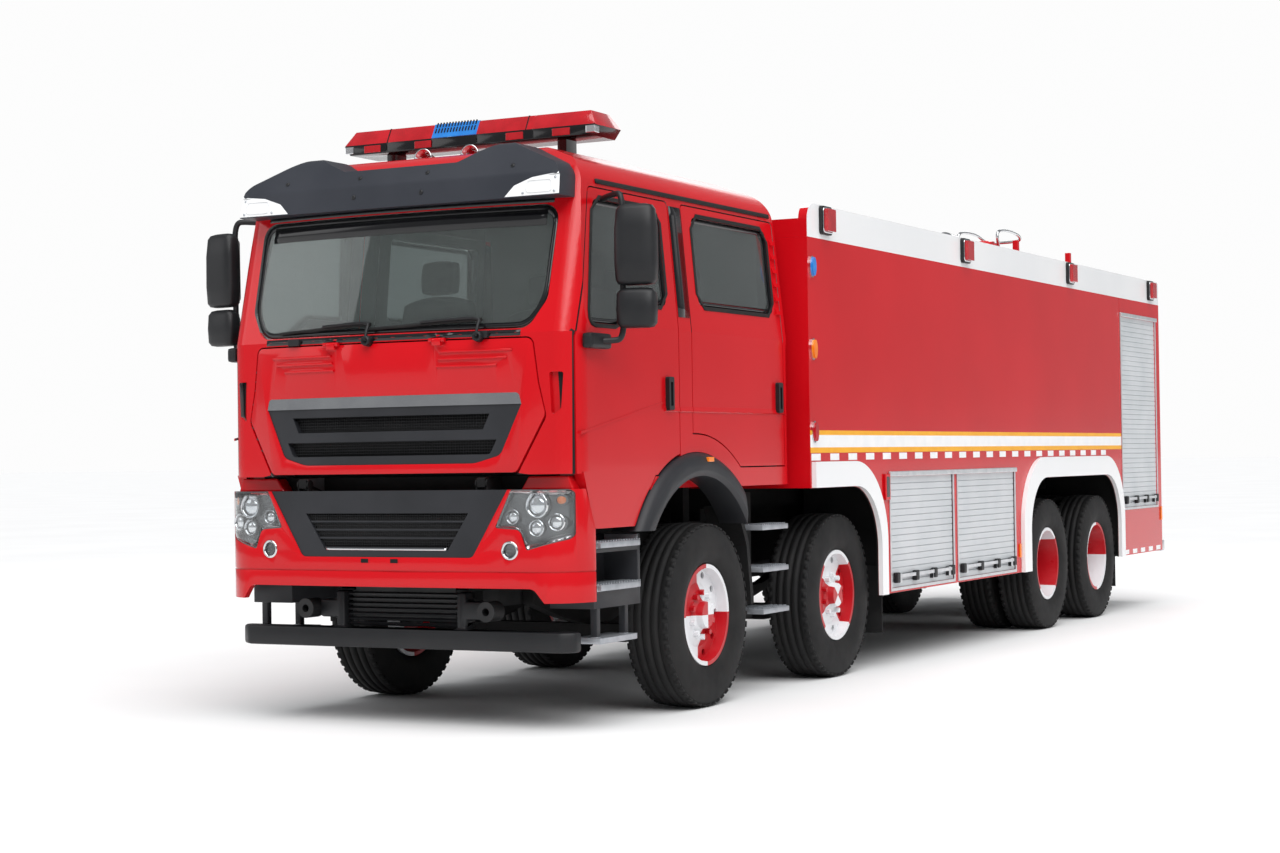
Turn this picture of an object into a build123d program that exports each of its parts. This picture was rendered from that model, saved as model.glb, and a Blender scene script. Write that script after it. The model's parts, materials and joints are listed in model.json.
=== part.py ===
"""Eight-wheel foam fire truck: tilting crew cab, tank body, twin steering axles."""
import os
from functools import cache
from math import hypot

from build123d import *

os.makedirs("parts", exist_ok=True)

# Stations along Y: the truck faces -Y, its left side is +X, the ground is Z = 0
front_overhang = 1640
front_axle_gap = 1950
middle_axle_gap = 4380
rear_axle_gap = 1400
rear_overhang = 2130
overall_length = front_overhang + front_axle_gap + middle_axle_gap + rear_axle_gap + rear_overhang
front_end = -overall_length / 2
rear_end = overall_length / 2
axle_1_y = front_end + front_overhang
axle_2_y = axle_1_y + front_axle_gap
axle_3_y = axle_2_y + middle_axle_gap
axle_4_y = axle_3_y + rear_axle_gap
bogie_y = (axle_3_y + axle_4_y) / 2
sides = (("left", 1), ("right", -1))

# Fits: fixed faces, panel gaps, pins in their bores
seat_gap = 0.3
shut_gap = 8
running_gap = 0.05

# Tyres and wheels
tyre_radius = 542
tyre_width = 300
tyre_sides = 30
shoulder_drop = 72
shoulder_width = 32
dish_rise = 105
dish_depth = 38
rim_radius = 298
rim_wall = 24
rim_lip = 12
rim_half_width = tyre_width / 2 - dish_depth + rim_lip
drum_radius = 205
drum_depth = 50
hub_depth = 72
hand_holes = 10
hand_hole_radius = 21
front_tyre_x = 1030
king_pin_x = front_tyre_x - 130
king_pin_radius = 25
stub_radius = 45
twin_plane_x = 905
twin_gap = 40
twin_offset = (tyre_width + twin_gap) / 2
spindle_radius = 60
axle_housing_radius = 95

# Ladder frame
rail_outer_x = 430
rail_width = 85
rail_inner_x = rail_outer_x - rail_width
rail_bottom = 750
rail_top = 1050
rail_web = 9
rail_front = front_end + 190
rail_rear = rear_end - 140

# Cab: its datum line carries the doors and steps
bumper_lead = 18
cab_front = front_end + bumper_lead
cab_y = cab_front + 1630
cab_rear = cab_y + 1230
cab_half_width = 1150
cab_bow = 110
cab_wall = 60
cab_floor = 1290
cab_belt = 2150
roof_top = 3215
gutter_z = roof_top - 230
screen_rake = 0.25
door_x = cab_half_width - 165
door_sill = cab_floor + 82
door_apron_z = cab_floor - 198
swage_z = cab_floor + 465
lid_bottom = cab_floor + 100
lid_top = cab_belt - 30
lid_depth = 50
firewall_depth = 130
glass_inset = 16
glass_thickness = 6

# Pins that the cab and the front lid turn on
tilt_y = cab_front + 65
tilt_z = lid_bottom - 45
tilt_x = 590
tilt_pin_radius = 15
lid_hinge_x = 350
lid_hinge_y = cab_front - 4
lid_hinge_z = lid_top + shut_gap / 2
lid_pin_radius = 6
lid_barrel_radius = 12

# Bumper
bumper_half_width = cab_half_width + 30
bumper_bow = 40
bumper_corner = 270
bumper_depth = 40
bumper_top = lid_bottom - 80
bumper_bottom = 705
bumper_plan = (bumper_half_width, front_end, front_end + bumper_bow, front_end + 560, bumper_corner, 0)

# Front wheel arch on the cab
arch_y = axle_1_y - 100
arch_z = 600
arch_outer = 900
arch_inner = 760
arch_clearance = 15
arch_panel = 110

# Tank body
body_front = cab_rear + 90
body_rear = rear_end - 110
body_half_width = 1250
body_bottom = 510
body_floor = rail_top + 80
body_shoulder = body_floor + 132
body_deck = 2870
parapet_top = body_deck + 220
parapet_width = 60
skirt_inner = 620
skirt_wall = 12
arch_radius = 430
surround_radius = 560
surround_proud = 32
locker_post = 110
locker_width = 1240
slat_pitch = 45
slat_groove = 7
recess_depth = 24

# Roof monitor
monitor_y = body_rear - 1450
riser_top = body_deck + 250
monitor_z = riser_top + 240
trunnion_radius = 30


def slab(x0, x1, y0, y1, z0, z1, mode=Mode.ADD):
    """Box between limits, in the part being built."""
    with Locations(((x0 + x1) / 2, (y0 + y1) / 2, (z0 + z1) / 2)):
        Box(abs(x1 - x0), abs(y1 - y0), abs(z1 - z0), mode=mode)


def outline(rows, plane, grow=0):
    """Closed sketch from (u, v) or (u, v, corner radius) rows, grown or shrunk as a whole."""
    with BuildSketch(plane) as shape:
        with BuildLine():
            FilletPolyline(*[row[:2] for row in rows], radius=[(*row, 0)[2] for row in rows], close=True)
        make_face()
        if grow:
            offset(amount=grow, kind=Kind.INTERSECTION)
    return shape.sketch


def side_prism(rows, x0, x1, mode=Mode.ADD, grow=0):
    """Prism across X from a (Y, Z) outline."""
    extrude(outline(rows, Plane.YZ.offset(x0), grow), amount=x1 - x0, mode=mode)


def front_prism(rows, y0, y1, mode=Mode.ADD, grow=0):
    """Prism along Y from an (X, Z) outline."""
    extrude(outline(rows, Plane.XZ.offset(-y1), grow), amount=y1 - y0, mode=mode)


def disc_x(x0, x1, y, z, radius, mode=Mode.ADD):
    """Cylinder along X between two limits."""
    with BuildSketch(Plane.YZ.offset(x0)) as circle:
        with Locations((y, z)):
            Circle(radius)
    extrude(circle.sketch, amount=x1 - x0, mode=mode)


def disc_y(y0, y1, x, z, radius, mode=Mode.ADD):
    """Cylinder along Y between two limits."""
    with BuildSketch(Plane.XZ.offset(-y0)) as circle:
        with Locations((x, z)):
            Circle(radius)
    extrude(circle.sketch, amount=y0 - y1, mode=mode)


def disc_z(z0, z1, x, y, radius, mode=Mode.ADD):
    """Cylinder along Z between two limits."""
    with BuildSketch(Plane.XY.offset(z0)) as circle:
        with Locations((x, y)):
            Circle(radius)
    extrude(circle.sketch, amount=z1 - z0, mode=mode)


def shifted(rows, y):
    """(Y, Z) outline measured from a station, moved to its place along Y."""
    return [(y + row[0], *row[1:]) for row in rows]


def mirrored(rows):
    """Half outline in (X, Z), closed across the middle plane."""
    return list(rows) + [(-row[0], *row[1:]) for row in reversed(rows)]


def flipped(rows, side):
    """(X, Z) outline on the left, or its mirror image on the right."""
    return [(side * row[0], *row[1:]) for row in rows]


def rounded(rows, radius):
    """Outline with the same radius on every corner."""
    return [(*row[:2], radius) for row in rows]


def plan_sketch(z, inset, half_width, bow_y, corner_y, rear_y, corner_radius, rear_radius):
    """Plan of a bowed front with rounded corners, seen from above."""
    with BuildSketch(Plane.XY.offset(z)) as plan:
        with BuildLine():
            ThreePointArc((-half_width, corner_y), (0, bow_y), (half_width, corner_y))
            Polyline((half_width, corner_y), (half_width, rear_y), (-half_width, rear_y),
                     (-half_width, corner_y))
        make_face()
        fillet(plan.vertices().group_by(Axis.Y)[0], corner_radius)
        if rear_radius:
            fillet(plan.vertices().group_by(Axis.Y)[-1], rear_radius)
        if inset:
            offset(amount=-inset, kind=Kind.INTERSECTION)
    return plan.sketch


def save(piece, name):
    """Label one finished piece and write it."""
    piece.label = name
    export_step(piece, f"parts/{name}.step")


# Tyre: a many-sided ring with sloped shoulders and dished sidewalls, one flat on the ground
with BuildPart() as tyre_ring:
    with BuildSketch(Plane.YZ.offset(-tyre_width / 2)):
        RegularPolygon(tyre_radius, tyre_sides, major_radius=False)
        RegularPolygon(rim_radius + seat_gap, tyre_sides, major_radius=False, mode=Mode.SUBTRACT)
    extrude(amount=tyre_width)
    for end in (0, -1):
        sidewall = tyre_ring.faces().sort_by(Axis.X)[end]
        chamfer(sidewall.outer_wire().edges(), shoulder_drop, shoulder_width, reference=sidewall)
        sidewall = tyre_ring.faces().sort_by(Axis.X)[end]
        chamfer(sidewall.inner_wires()[0].edges(), dish_rise, dish_depth, reference=sidewall)

# Wheels: rim, disc, hub and drum turned as one, profile as (outward, radius) from the wheel plane
disc_front = 60
front_wheel_profile = (
    (-drum_depth, stub_radius + running_gap), (-drum_depth, drum_radius), (45, drum_radius),
    (45, rim_radius - rim_wall - 4), (-rim_half_width, rim_radius - rim_wall), (-rim_half_width,
                                                                                rim_radius),
    (rim_half_width, rim_radius), (rim_half_width, rim_radius - rim_wall),
    (disc_front, rim_radius - rim_wall - 6), (disc_front, 190), (78, 150), (78, 112), (95, 84), (132, 76),
    (132, 0), (hub_depth, 0), (hub_depth, stub_radius + running_gap),
)
twin_edge = twin_offset + rim_half_width
twin_valley = twin_offset - rim_half_width
twin_disc = 14
twin_hub_depth = 40
rear_wheel_profile = (
    (-200, spindle_radius + running_gap), (-200, drum_radius), (-twin_disc, drum_radius), (-twin_disc, 240),
    (-62, rim_radius - rim_wall - 4), (-twin_edge, rim_radius - rim_wall), (-twin_edge, rim_radius),
    (-twin_valley, rim_radius), (-twin_disc - 2, 262), (twin_disc + 2, 262), (twin_valley, rim_radius),
    (twin_edge, rim_radius), (twin_edge, rim_radius - rim_wall), (62, rim_radius - rim_wall - 4),
    (twin_disc, 240), (twin_disc, 190), (36, 160), (36, 132), (150, 118), (168, 96), (168, 0),
    (twin_hub_depth, 0), (twin_hub_depth, spindle_radius + running_gap),
)


def wheel(profile, side, x, y, hole_circle, hole_radius):
    """Turned wheel about its axle with a ring of hand holes, in the part being built."""
    plane = Plane(origin=(side * x, y, tyre_radius), x_dir=(side, 0, 0), z_dir=(0, -side, 0))
    with BuildSketch(plane) as section:
        Polygon(*profile, align=None)
    revolve(section.sketch, axis=Axis((side * x, y, tyre_radius), (1, 0, 0)))
    with BuildSketch(Plane(origin=(side * x, y, tyre_radius), x_dir=(0, 1, 0),
                           z_dir=(side, 0, 0))) as holes:
        with PolarLocations(hole_circle, hand_holes):
            Circle(hole_radius)
    extrude(holes.sketch, amount=disc_front + 20, mode=Mode.SUBTRACT)


# King pin lugs: the axle's eye runs between them
eye_half = 70
eye_radius = 55
lug_radius = 52
lug_height = 40
lug_gap = 2
lug_reach = eye_half + lug_gap + lug_height
plate_x = front_tyre_x - drum_depth - 5
plate_depth = 15

for side_name, side in sides:
    for axle_name, axle_y in (("1", axle_1_y), ("2", axle_2_y)):
        with BuildPart() as front_tyre:
            with Locations((side * front_tyre_x, axle_y, tyre_radius)):
                add(tyre_ring.part)
        save(front_tyre.part, f"tyre_{axle_name}_{side_name}")

        with BuildPart() as front_wheel:
            wheel(front_wheel_profile, side, front_tyre_x, axle_y,
                  (drum_radius + rim_radius - rim_wall) / 2,
                  hand_hole_radius)
        save(front_wheel.part, f"wheel_{axle_name}_{side_name}")

        with BuildPart() as knuckle:
            pin_x = side * king_pin_x
            disc_z(tyre_radius - lug_reach, tyre_radius + lug_reach, pin_x, axle_y, king_pin_radius)
            for lug_z in (tyre_radius - lug_reach, tyre_radius + eye_half + lug_gap):
                disc_z(lug_z, lug_z + lug_height, pin_x, axle_y, lug_radius)
                slab(pin_x, side * plate_x, axle_y - lug_radius, axle_y + lug_radius, lug_z,
                     lug_z + lug_height)
            slab(side * (plate_x - plate_depth), side * plate_x, axle_y - lug_radius, axle_y + lug_radius,
                 tyre_radius - lug_reach, tyre_radius + lug_reach)
            disc_x(side * (plate_x - plate_depth), side * (front_tyre_x + hub_depth - 1), axle_y,
                   tyre_radius,
                   stub_radius)
        save(knuckle.part, f"knuckle_{axle_name}_{side_name}")

    for axle_name, axle_y in (("3", axle_3_y), ("4", axle_4_y)):
        with BuildPart() as twin_tyres:
            with Locations(*[(side * (twin_plane_x + turn * twin_offset), axle_y,
                              tyre_radius) for turn in (1, -1)]):
                add(tyre_ring.part)
        save(twin_tyres.part, f"tyres_{axle_name}_{side_name}")

        with BuildPart() as twin_wheel:
            wheel(rear_wheel_profile, side, twin_plane_x, axle_y, (drum_radius + 245) / 2,
                  hand_hole_radius - 5)
        save(twin_wheel.part, f"wheel_{axle_name}_{side_name}")

# Front axles: dropped beams with an eye at each king pin
beam_seat = tyre_radius - 64
beam_depth = 50
beam_half = (
    (king_pin_x - 260, beam_seat), (king_pin_x - 140, tyre_radius + 48), (king_pin_x, tyre_radius + 60),
    (king_pin_x, tyre_radius - 60), (king_pin_x - 130, tyre_radius - 72), (king_pin_x - 260,
                                                                           tyre_radius - 170),
)
with BuildPart() as front_axles:
    for axle_y in (axle_1_y, axle_2_y):
        front_prism(mirrored(beam_half), axle_y - beam_depth, axle_y + beam_depth)
        for side_name, side in sides:
            pin_x = side * king_pin_x
            eye_limits = (tyre_radius - eye_half, tyre_radius + eye_half)
            disc_z(*eye_limits, pin_x, axle_y, eye_radius)
            disc_z(*eye_limits, pin_x, axle_y, king_pin_radius + running_gap, mode=Mode.SUBTRACT)
save(front_axles.part, "front_axles")

# Rear axles: housings with a round differential and its nose
nose_reach = 330
with BuildPart() as rear_axles:
    for axle_y in (axle_3_y, axle_4_y):
        disc_x(-(twin_plane_x - 215), twin_plane_x - 215, axle_y, tyre_radius, axle_housing_radius)
        disc_x(-(twin_plane_x + twin_hub_depth - 1), twin_plane_x + twin_hub_depth - 1, axle_y, tyre_radius,
               spindle_radius)
        disc_x(-110, 110, axle_y, tyre_radius, 225)
        disc_y(axle_y - nose_reach, axle_y, 0, tyre_radius + 40, 90)
save(rear_axles.part, "rear_axles")

# Leaf springs, seated on the axles and hung from the rails
spring_half = 38
spring_x = rail_outer_x - rail_width / 2
hang_z = rail_bottom - seat_gap
seat_z = beam_seat + seat_gap
pad_z = tyre_radius + axle_housing_radius + seat_gap
bogie_reach = rear_axle_gap / 2
leaf_half = (
    (760, hang_z), (690, hang_z), (690, hang_z - 85), (420, seat_z + 114, 600), (120, seat_z + 97),
    (-120, seat_z + 97), (-420, seat_z + 114, 600), (-690, hang_z - 85), (-690, hang_z), (-760, hang_z),
    (-760, seat_z + 162), (-420, seat_z + 62, 600), (-120, seat_z), (120, seat_z), (420, seat_z + 62, 600),
    (760, seat_z + 162),
)
bogie_leaf = (
    (-bogie_reach - 90, pad_z), (-bogie_reach + 90, pad_z), (-260, pad_z + 18), (0, pad_z + 3),
    (260, pad_z + 18), (bogie_reach - 90, pad_z), (bogie_reach + 90, pad_z), (bogie_reach + 90, pad_z + 40),
    (320, hang_z - 22), (180, hang_z), (-180, hang_z), (-320, hang_z - 22), (-bogie_reach - 90, pad_z + 40),
)
with BuildPart() as springs:
    for side_name, side in sides:
        x0 = side * (spring_x - spring_half)
        x1 = side * (spring_x + spring_half)
        for axle_y in (axle_1_y, axle_2_y):
            side_prism(shifted(leaf_half, axle_y), x0, x1)
        side_prism(shifted(bogie_leaf, bogie_y), x0, x1)
save(springs.part, "springs")

# Ladder frame with the bumper carrier, tilt posts and rear cab mounts
carrier_z = 850
with BuildPart() as carrier:
    extrude(plan_sketch(carrier_z, bumper_depth + seat_gap, *bumper_plan), amount=100)
    slab(-tilt_x - 70, tilt_x + 70, front_end, rail_front + 2, carrier_z - 50, carrier_z + 150,
         mode=Mode.INTERSECT)

cross_members = (
    body_front + 20, axle_2_y + 650, (axle_2_y + axle_3_y) / 2 + 160, axle_3_y - 630, bogie_y + 50,
    axle_4_y + 770, rail_rear - 160,
)
member_half = 45
post_half = 17
cheek_width = 10
cab_lug_half = 25
cheek_gap = 3
with BuildPart() as frame:
    for side_name, side in sides:
        inner = side * rail_inner_x
        outer = side * rail_outer_x
        slab(inner, outer, rail_front, rail_rear, rail_bottom, rail_top)
        slab(inner, outer - side * rail_web, rail_front - 1, rail_rear + 1,
             rail_bottom + rail_web, rail_top - rail_web, mode=Mode.SUBTRACT)
    for member_y in cross_members:
        slab(-(rail_outer_x - 2), rail_outer_x - 2, member_y - member_half, member_y + member_half,
             rail_bottom + 40, rail_top - 90)
    add(carrier.part)
    for side_name, side in sides:
        for turn in (1, -1):
            near = side * tilt_x + turn * (cab_lug_half + cheek_gap)
            far = near + turn * cheek_width
            slab(near, far, tilt_y - post_half, tilt_y + post_half, carrier_z + 50, tilt_z)
            disc_x(near, far, tilt_y, tilt_z, tilt_pin_radius + 11)
        pin_half = cab_lug_half + cheek_gap + cheek_width
        disc_x(side * tilt_x - pin_half, side * tilt_x + pin_half, tilt_y, tilt_z, tilt_pin_radius)
        slab(side * (rail_outer_x - 50), side * (rail_outer_x + 40), cab_rear - 180, cab_rear - 90,
             rail_top - 5, cab_floor - seat_gap)
save(frame.part, "frame")

# Engine, gearbox, radiator and drive shaft as plain masses on the frame
engine_rear = cab_y + 330
engine_top = cab_floor - 55
gearbox_rear = body_front - 30
radiator_rear = front_end + 330
engine_front = front_end + 460
with BuildPart() as powertrain:
    slab(-rail_inner_x + seat_gap, rail_inner_x - seat_gap, engine_front, engine_rear, rail_bottom - 110,
         engine_top)
    slab(-210, 210, engine_rear, gearbox_rear, rail_bottom - 90, rail_top - 20)
    slab(-330, 330, front_end + 200, radiator_rear, rail_bottom - 150, engine_top)
    slab(-60, 60, radiator_rear, engine_front, rail_bottom + 50, rail_bottom + 150)
    disc_y(gearbox_rear, axle_3_y - nose_reach - seat_gap, 0, tyre_radius + 140, 55)
save(powertrain.part, "powertrain")

# Cab envelope: side profile, cross-section and bowed plan, rows with a corner radius where rounded
cab_side = (
    (cab_front - 170, lid_bottom), (cab_front + 215, lid_bottom), (cab_front + 215, cab_floor),
    (cab_rear, cab_floor), (cab_rear - 70, gutter_z, 250), (cab_rear - 220, roof_top, 200),
    (cab_front + 540, roof_top, 300), (cab_front + 320, roof_top - 155), (cab_front + 130, gutter_z - 100),
    (cab_front - 170, gutter_z - 100),
)
cab_section = mirrored((
    (cab_half_width, door_apron_z - 90), (cab_half_width, cab_belt + 50),
    (cab_half_width - 80, roof_top - 130, 180), (cab_half_width - 430, roof_top, 400),
))
plan_bottom = door_apron_z - 90


cab_plan = (cab_half_width, cab_front, cab_front + cab_bow, cab_rear, 150, 60)


@cache
def cab_volume(inset):
    """Cab envelope with every face moved in by inset."""
    rise = roof_top - cab_belt + 100
    with BuildPart() as volume:
        extrude(plan_sketch(plan_bottom, inset, *cab_plan), amount=cab_belt - plan_bottom)
        extrude(plan_sketch(cab_belt, inset, *cab_plan), amount=rise * hypot(1, screen_rake),
                dir=(0, screen_rake, 1))
        extrude(outline(cab_side, Plane.YZ, grow=-inset), amount=1.3 * cab_half_width, both=True,
                mode=Mode.INTERSECT)
        extrude(outline(cab_section, Plane.XZ, grow=-inset), amount=overall_length, both=True,
                mode=Mode.INTERSECT)
    return volume.part


def skin(outer_inset, inner_inset):
    """Layer of the cab envelope between two insets, in the part being built."""
    add(cab_volume(outer_inset))
    add(cab_volume(inner_inset), mode=Mode.SUBTRACT)


# Pressed lines on the doors: a level ledge behind the handle, a rising crease before it
ledge = ((cab_half_width - 2, swage_z - 26), (cab_half_width + 7, swage_z - 20),
         (cab_half_width - 2, swage_z + 16))
crease = shifted(((-1478, swage_z - 140), (-520, swage_z + 35), (-520, swage_z + 23),
                  (-1478, swage_z - 154)), cab_y)
with BuildPart() as cab_pressed:
    add(cab_volume(0))
    for side_name, side in sides:
        front_prism(flipped(ledge, side), cab_y - 500, cab_rear - 60)
        side_prism(crease, side * (cab_half_width - 2), side * (cab_half_width + 4))

cab_outer = cab_pressed.part
cab_inner = cab_volume(cab_wall)
x_far = cab_half_width + 150

# Door, window and lid outlines
door_top = gutter_z - 40
window_top = gutter_z - 100
rear_sill = door_sill + 38
front_door = shifted(((-1480, door_sill), (-318, door_sill), (-318, door_top, 30), (-1245, door_top, 40),
                      (-1480, cab_belt - 30)), cab_y)
rear_door = shifted(((-142, rear_sill), (1142, rear_sill), (1130, door_top, 30), (-142, door_top, 30)),
                    cab_y)
apron = shifted(((-1455, door_sill + 28), (-1340, door_apron_z, 40), (-885, door_apron_z),
                 (-600, door_sill + 28)), cab_y)
front_window = rounded(shifted((
    (-1368, cab_belt + 50), (-1010, cab_belt + 50), (-830, cab_belt + 185), (-440, cab_belt + 185),
    (-440, window_top), (-1205, window_top)), cab_y), 45)
rear_window = rounded(shifted((
    (-20, cab_belt + 210), (1030, cab_belt + 210), (1020, window_top), (-20, window_top)), cab_y), 45)
screen = rounded(mirrored((
    (cab_half_width - 165, gutter_z - 135), (cab_half_width - 175, cab_belt + 180),
    (cab_half_width - 270, cab_belt + 22))), 90)


def lid_rows(rise):
    """Lid outline seen from the front, its lower edges raised by rise."""
    return mirrored((
        (cab_half_width - 245, lid_top, 40), (cab_half_width - 215, lid_top - 240),
        (cab_half_width - 175, lid_bottom + 310 + rise, 60), (cab_half_width - 345, lid_bottom + rise, 40)))


# The lid dips a little as it starts to open, so it has more room below than beside it
lid_dip = 12
lid_reach = 140
nose_limits = (cab_front - 100, cab_front + 500)

with BuildPart() as firewall_zone:
    slab(-x_far, x_far, cab_front - 10, cab_front + 200, plan_bottom, cab_belt)
    add(cab_volume(firewall_depth), mode=Mode.SUBTRACT)

with BuildPart() as lid_zone:
    skin(0, lid_depth + shut_gap)
    front_prism(lid_rows(0), *nose_limits, mode=Mode.INTERSECT, grow=shut_gap)

with BuildPart() as cab_cavity:
    add(cab_inner)
    add(firewall_zone.part, mode=Mode.SUBTRACT)
    for side_name, side in sides:
        disc_x(side * (door_x - 45), side * x_far, arch_y, arch_z, arch_outer + cab_wall,
               mode=Mode.SUBTRACT)

# Rear door openings stop at the red panel over the wheel arch
with BuildPart() as rear_openings:
    for side_name, side in sides:
        side_prism(rear_door, side * door_x, side * x_far, grow=shut_gap)
        disc_x(side * (door_x - 1), side * x_far, arch_y, arch_z, arch_outer + arch_panel - shut_gap,
               mode=Mode.SUBTRACT)

# Air scoops in the front corners
scoop = ((cab_half_width - 150, lid_top - 185), (cab_half_width - 75, lid_top - 185),
         (cab_half_width - 88, lid_bottom + 350), (cab_half_width - 140, lid_bottom + 310))
with BuildPart() as scoop_mask:
    for side_name, side in sides:
        front_prism(rounded(flipped(scoop, side), 12), *nose_limits)
with BuildPart() as scoops:
    skin(0, 28)
    add(scoop_mask.part, mode=Mode.INTERSECT)

lug_half = cab_lug_half
barrel_half = 27
cheek_length = 20
with BuildPart() as cab_shell:
    add(cab_outer)
    add(cab_cavity.part, mode=Mode.SUBTRACT)
    add(rear_openings.part, mode=Mode.SUBTRACT)
    add(lid_zone.part, mode=Mode.SUBTRACT)
    add(scoops.part, mode=Mode.SUBTRACT)
    for side_name, side in sides:
        side_prism(front_door, side * door_x, side * x_far, mode=Mode.SUBTRACT, grow=shut_gap)
        side_prism(apron, side * (cab_half_width - cab_wall - shut_gap), side * x_far, mode=Mode.SUBTRACT,
                   grow=shut_gap)
        disc_x(side * (door_x + 15), side * x_far, arch_y, arch_z, arch_outer - seat_gap,
               mode=Mode.SUBTRACT)
    front_prism(screen, *nose_limits, mode=Mode.SUBTRACT)
    for side_name, side in sides:
        hinge_x = side * lid_hinge_x
        disc_x(hinge_x - barrel_half - 2, hinge_x + barrel_half + 2, lid_hinge_y, lid_hinge_z,
               lid_barrel_radius + 5, mode=Mode.SUBTRACT)
        for turn in (1, -1):
            near = hinge_x + turn * (barrel_half + 3)
            far = near + turn * cheek_length
            disc_x(near, far, lid_hinge_y, lid_hinge_z, lid_barrel_radius)
            slab(near, far, lid_hinge_y, cab_front + 40, lid_hinge_z + 2, lid_hinge_z + lid_barrel_radius)
        pin_half = barrel_half + 3 + cheek_length
        disc_x(hinge_x - pin_half, hinge_x + pin_half, lid_hinge_y, lid_hinge_z, lid_pin_radius)
    lug = ((tilt_y - 24, tilt_z - 20), (cab_front + 235, tilt_z - 45), (cab_front + 235, lid_bottom - 6),
           (tilt_y - 24, lid_bottom - 16))
    for side_name, side in sides:
        side_prism(lug, side * tilt_x - lug_half, side * tilt_x + lug_half)
        disc_x(side * tilt_x - lug_half, side * tilt_x + lug_half, tilt_y, tilt_z,
               tilt_pin_radius + running_gap, mode=Mode.SUBTRACT)
save(cab_shell.part, "cab_shell")

# Doors with their window openings and pull handles; columns: outline, window, handle Y, arch room
door_table = (
    ("front", front_door, front_window, cab_y - 458, arch_outer + arch_clearance),
    ("rear", rear_door, rear_window, cab_y + 1050, arch_outer + arch_panel),
)
handle_z = swage_z + 80
for side_name, side in sides:
    x_in = side * door_x
    x_out = side * x_far
    for door_name, door_rows, window_rows, handle_y, arch_room in door_table:
        with BuildPart() as door:
            add(cab_outer)
            add(cab_inner, mode=Mode.SUBTRACT)
            side_prism(door_rows, x_in, x_out, mode=Mode.INTERSECT)
            if door_name == "front":
                side_prism(apron, side * (cab_half_width - cab_wall), side * cab_half_width)
            disc_x(side * (door_x - 85), x_out, arch_y, arch_z, arch_room, mode=Mode.SUBTRACT)
            side_prism(window_rows, x_in, x_out, mode=Mode.SUBTRACT)
            grip = ((handle_y - 32, handle_z - 95), (handle_y + 32, handle_z - 95),
                    (handle_y + 32, handle_z + 95),
                    (handle_y - 32, handle_z + 95))
            side_prism(rounded(grip, 14), side * (cab_half_width - 5), side * (cab_half_width + 26))
            slab(side * (cab_half_width + 8), side * (cab_half_width + 30), handle_y - 12, handle_y + 16,
                 handle_z - 70, handle_z + 65, mode=Mode.SUBTRACT)
        save(door.part, f"door_{door_name}_{side_name}")

        with BuildPart() as glass:
            skin(glass_inset, glass_inset + glass_thickness)
            side_prism(window_rows, x_in, x_out, mode=Mode.INTERSECT, grow=-seat_gap)
        save(glass.part, f"glass_{door_name}_{side_name}")

    # Two-piece mirror on a post between two arms
    with BuildPart() as mirror_set:
        post_x = cab_half_width + 145
        post_y = cab_y - 1260
        for head_z0, head_z1 in ((cab_belt + 245, gutter_z - 155), (cab_belt + 15, cab_belt + 230)):
            head = ((cab_half_width + 60, head_z0), (cab_half_width + 350, head_z0),
                    (cab_half_width + 350, head_z1), (cab_half_width + 60, head_z1))
            front_prism(rounded(flipped(head, side), 45), post_y - 80, post_y + 60)
        fillet(mirror_set.faces().sort_by(Axis.Y)[:2].edges(), 40)
        slab(side * (post_x - 20), side * (post_x + 20), post_y - 20, post_y + 20, cab_belt - 30,
             gutter_z - 105)
        arm_table = ((gutter_z - 140, cab_half_width - 58 + seat_gap),
                     (cab_belt - 50, cab_half_width + seat_gap))
        for arm_z, arm_x in arm_table:
            slab(side * arm_x, side * (post_x + 20), post_y - 22, post_y + 22, arm_z, arm_z + 45)
        foot = ((cab_y - 1470, cab_belt - 95), (cab_y - 1225, cab_belt - 95), (cab_y - 1225, cab_belt - 5),
                (cab_y - 1470, cab_belt - 5))
        side_prism(rounded(foot, 20), side * (cab_half_width + seat_gap), side * (cab_half_width + 65))
    save(mirror_set.part, f"mirror_{side_name}")

with BuildPart() as windscreen:
    skin(glass_inset, glass_inset + glass_thickness)
    front_prism(screen, *nose_limits, mode=Mode.INTERSECT, grow=-seat_gap)
save(windscreen.part, "windscreen")

# Front lid: grille opening, pressed ribs, hinge barrels on the shell's pins
grille_outline = mirrored((
    (825, lid_bottom + 440, 25), (840, lid_bottom + 378), (715, lid_bottom + 105, 60), (560,
                                                                                        lid_bottom + 62, 200)))
rib_height = 6
rib_table = ((0, 360, 790), (40, 350, 760), (80, 340, 700))
with BuildPart() as rib_mask:
    for side_name, side in sides:
        for drop, rib_in, rib_out in rib_table:
            rib = ((rib_in, lid_top - 52 - drop), (rib_out, lid_top - 52 - drop),
                   (rib_out - 25, lid_top - 68 - drop),
                   (rib_in, lid_top - 68 - drop))
            front_prism(flipped(rib, side), *nose_limits)
with BuildPart() as lid_ribs:
    extrude(plan_sketch(lid_bottom, -rib_height, *cab_plan), amount=lid_top - lid_bottom)
    add(cab_volume(5), mode=Mode.SUBTRACT)
    add(rib_mask.part, mode=Mode.INTERSECT)
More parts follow.
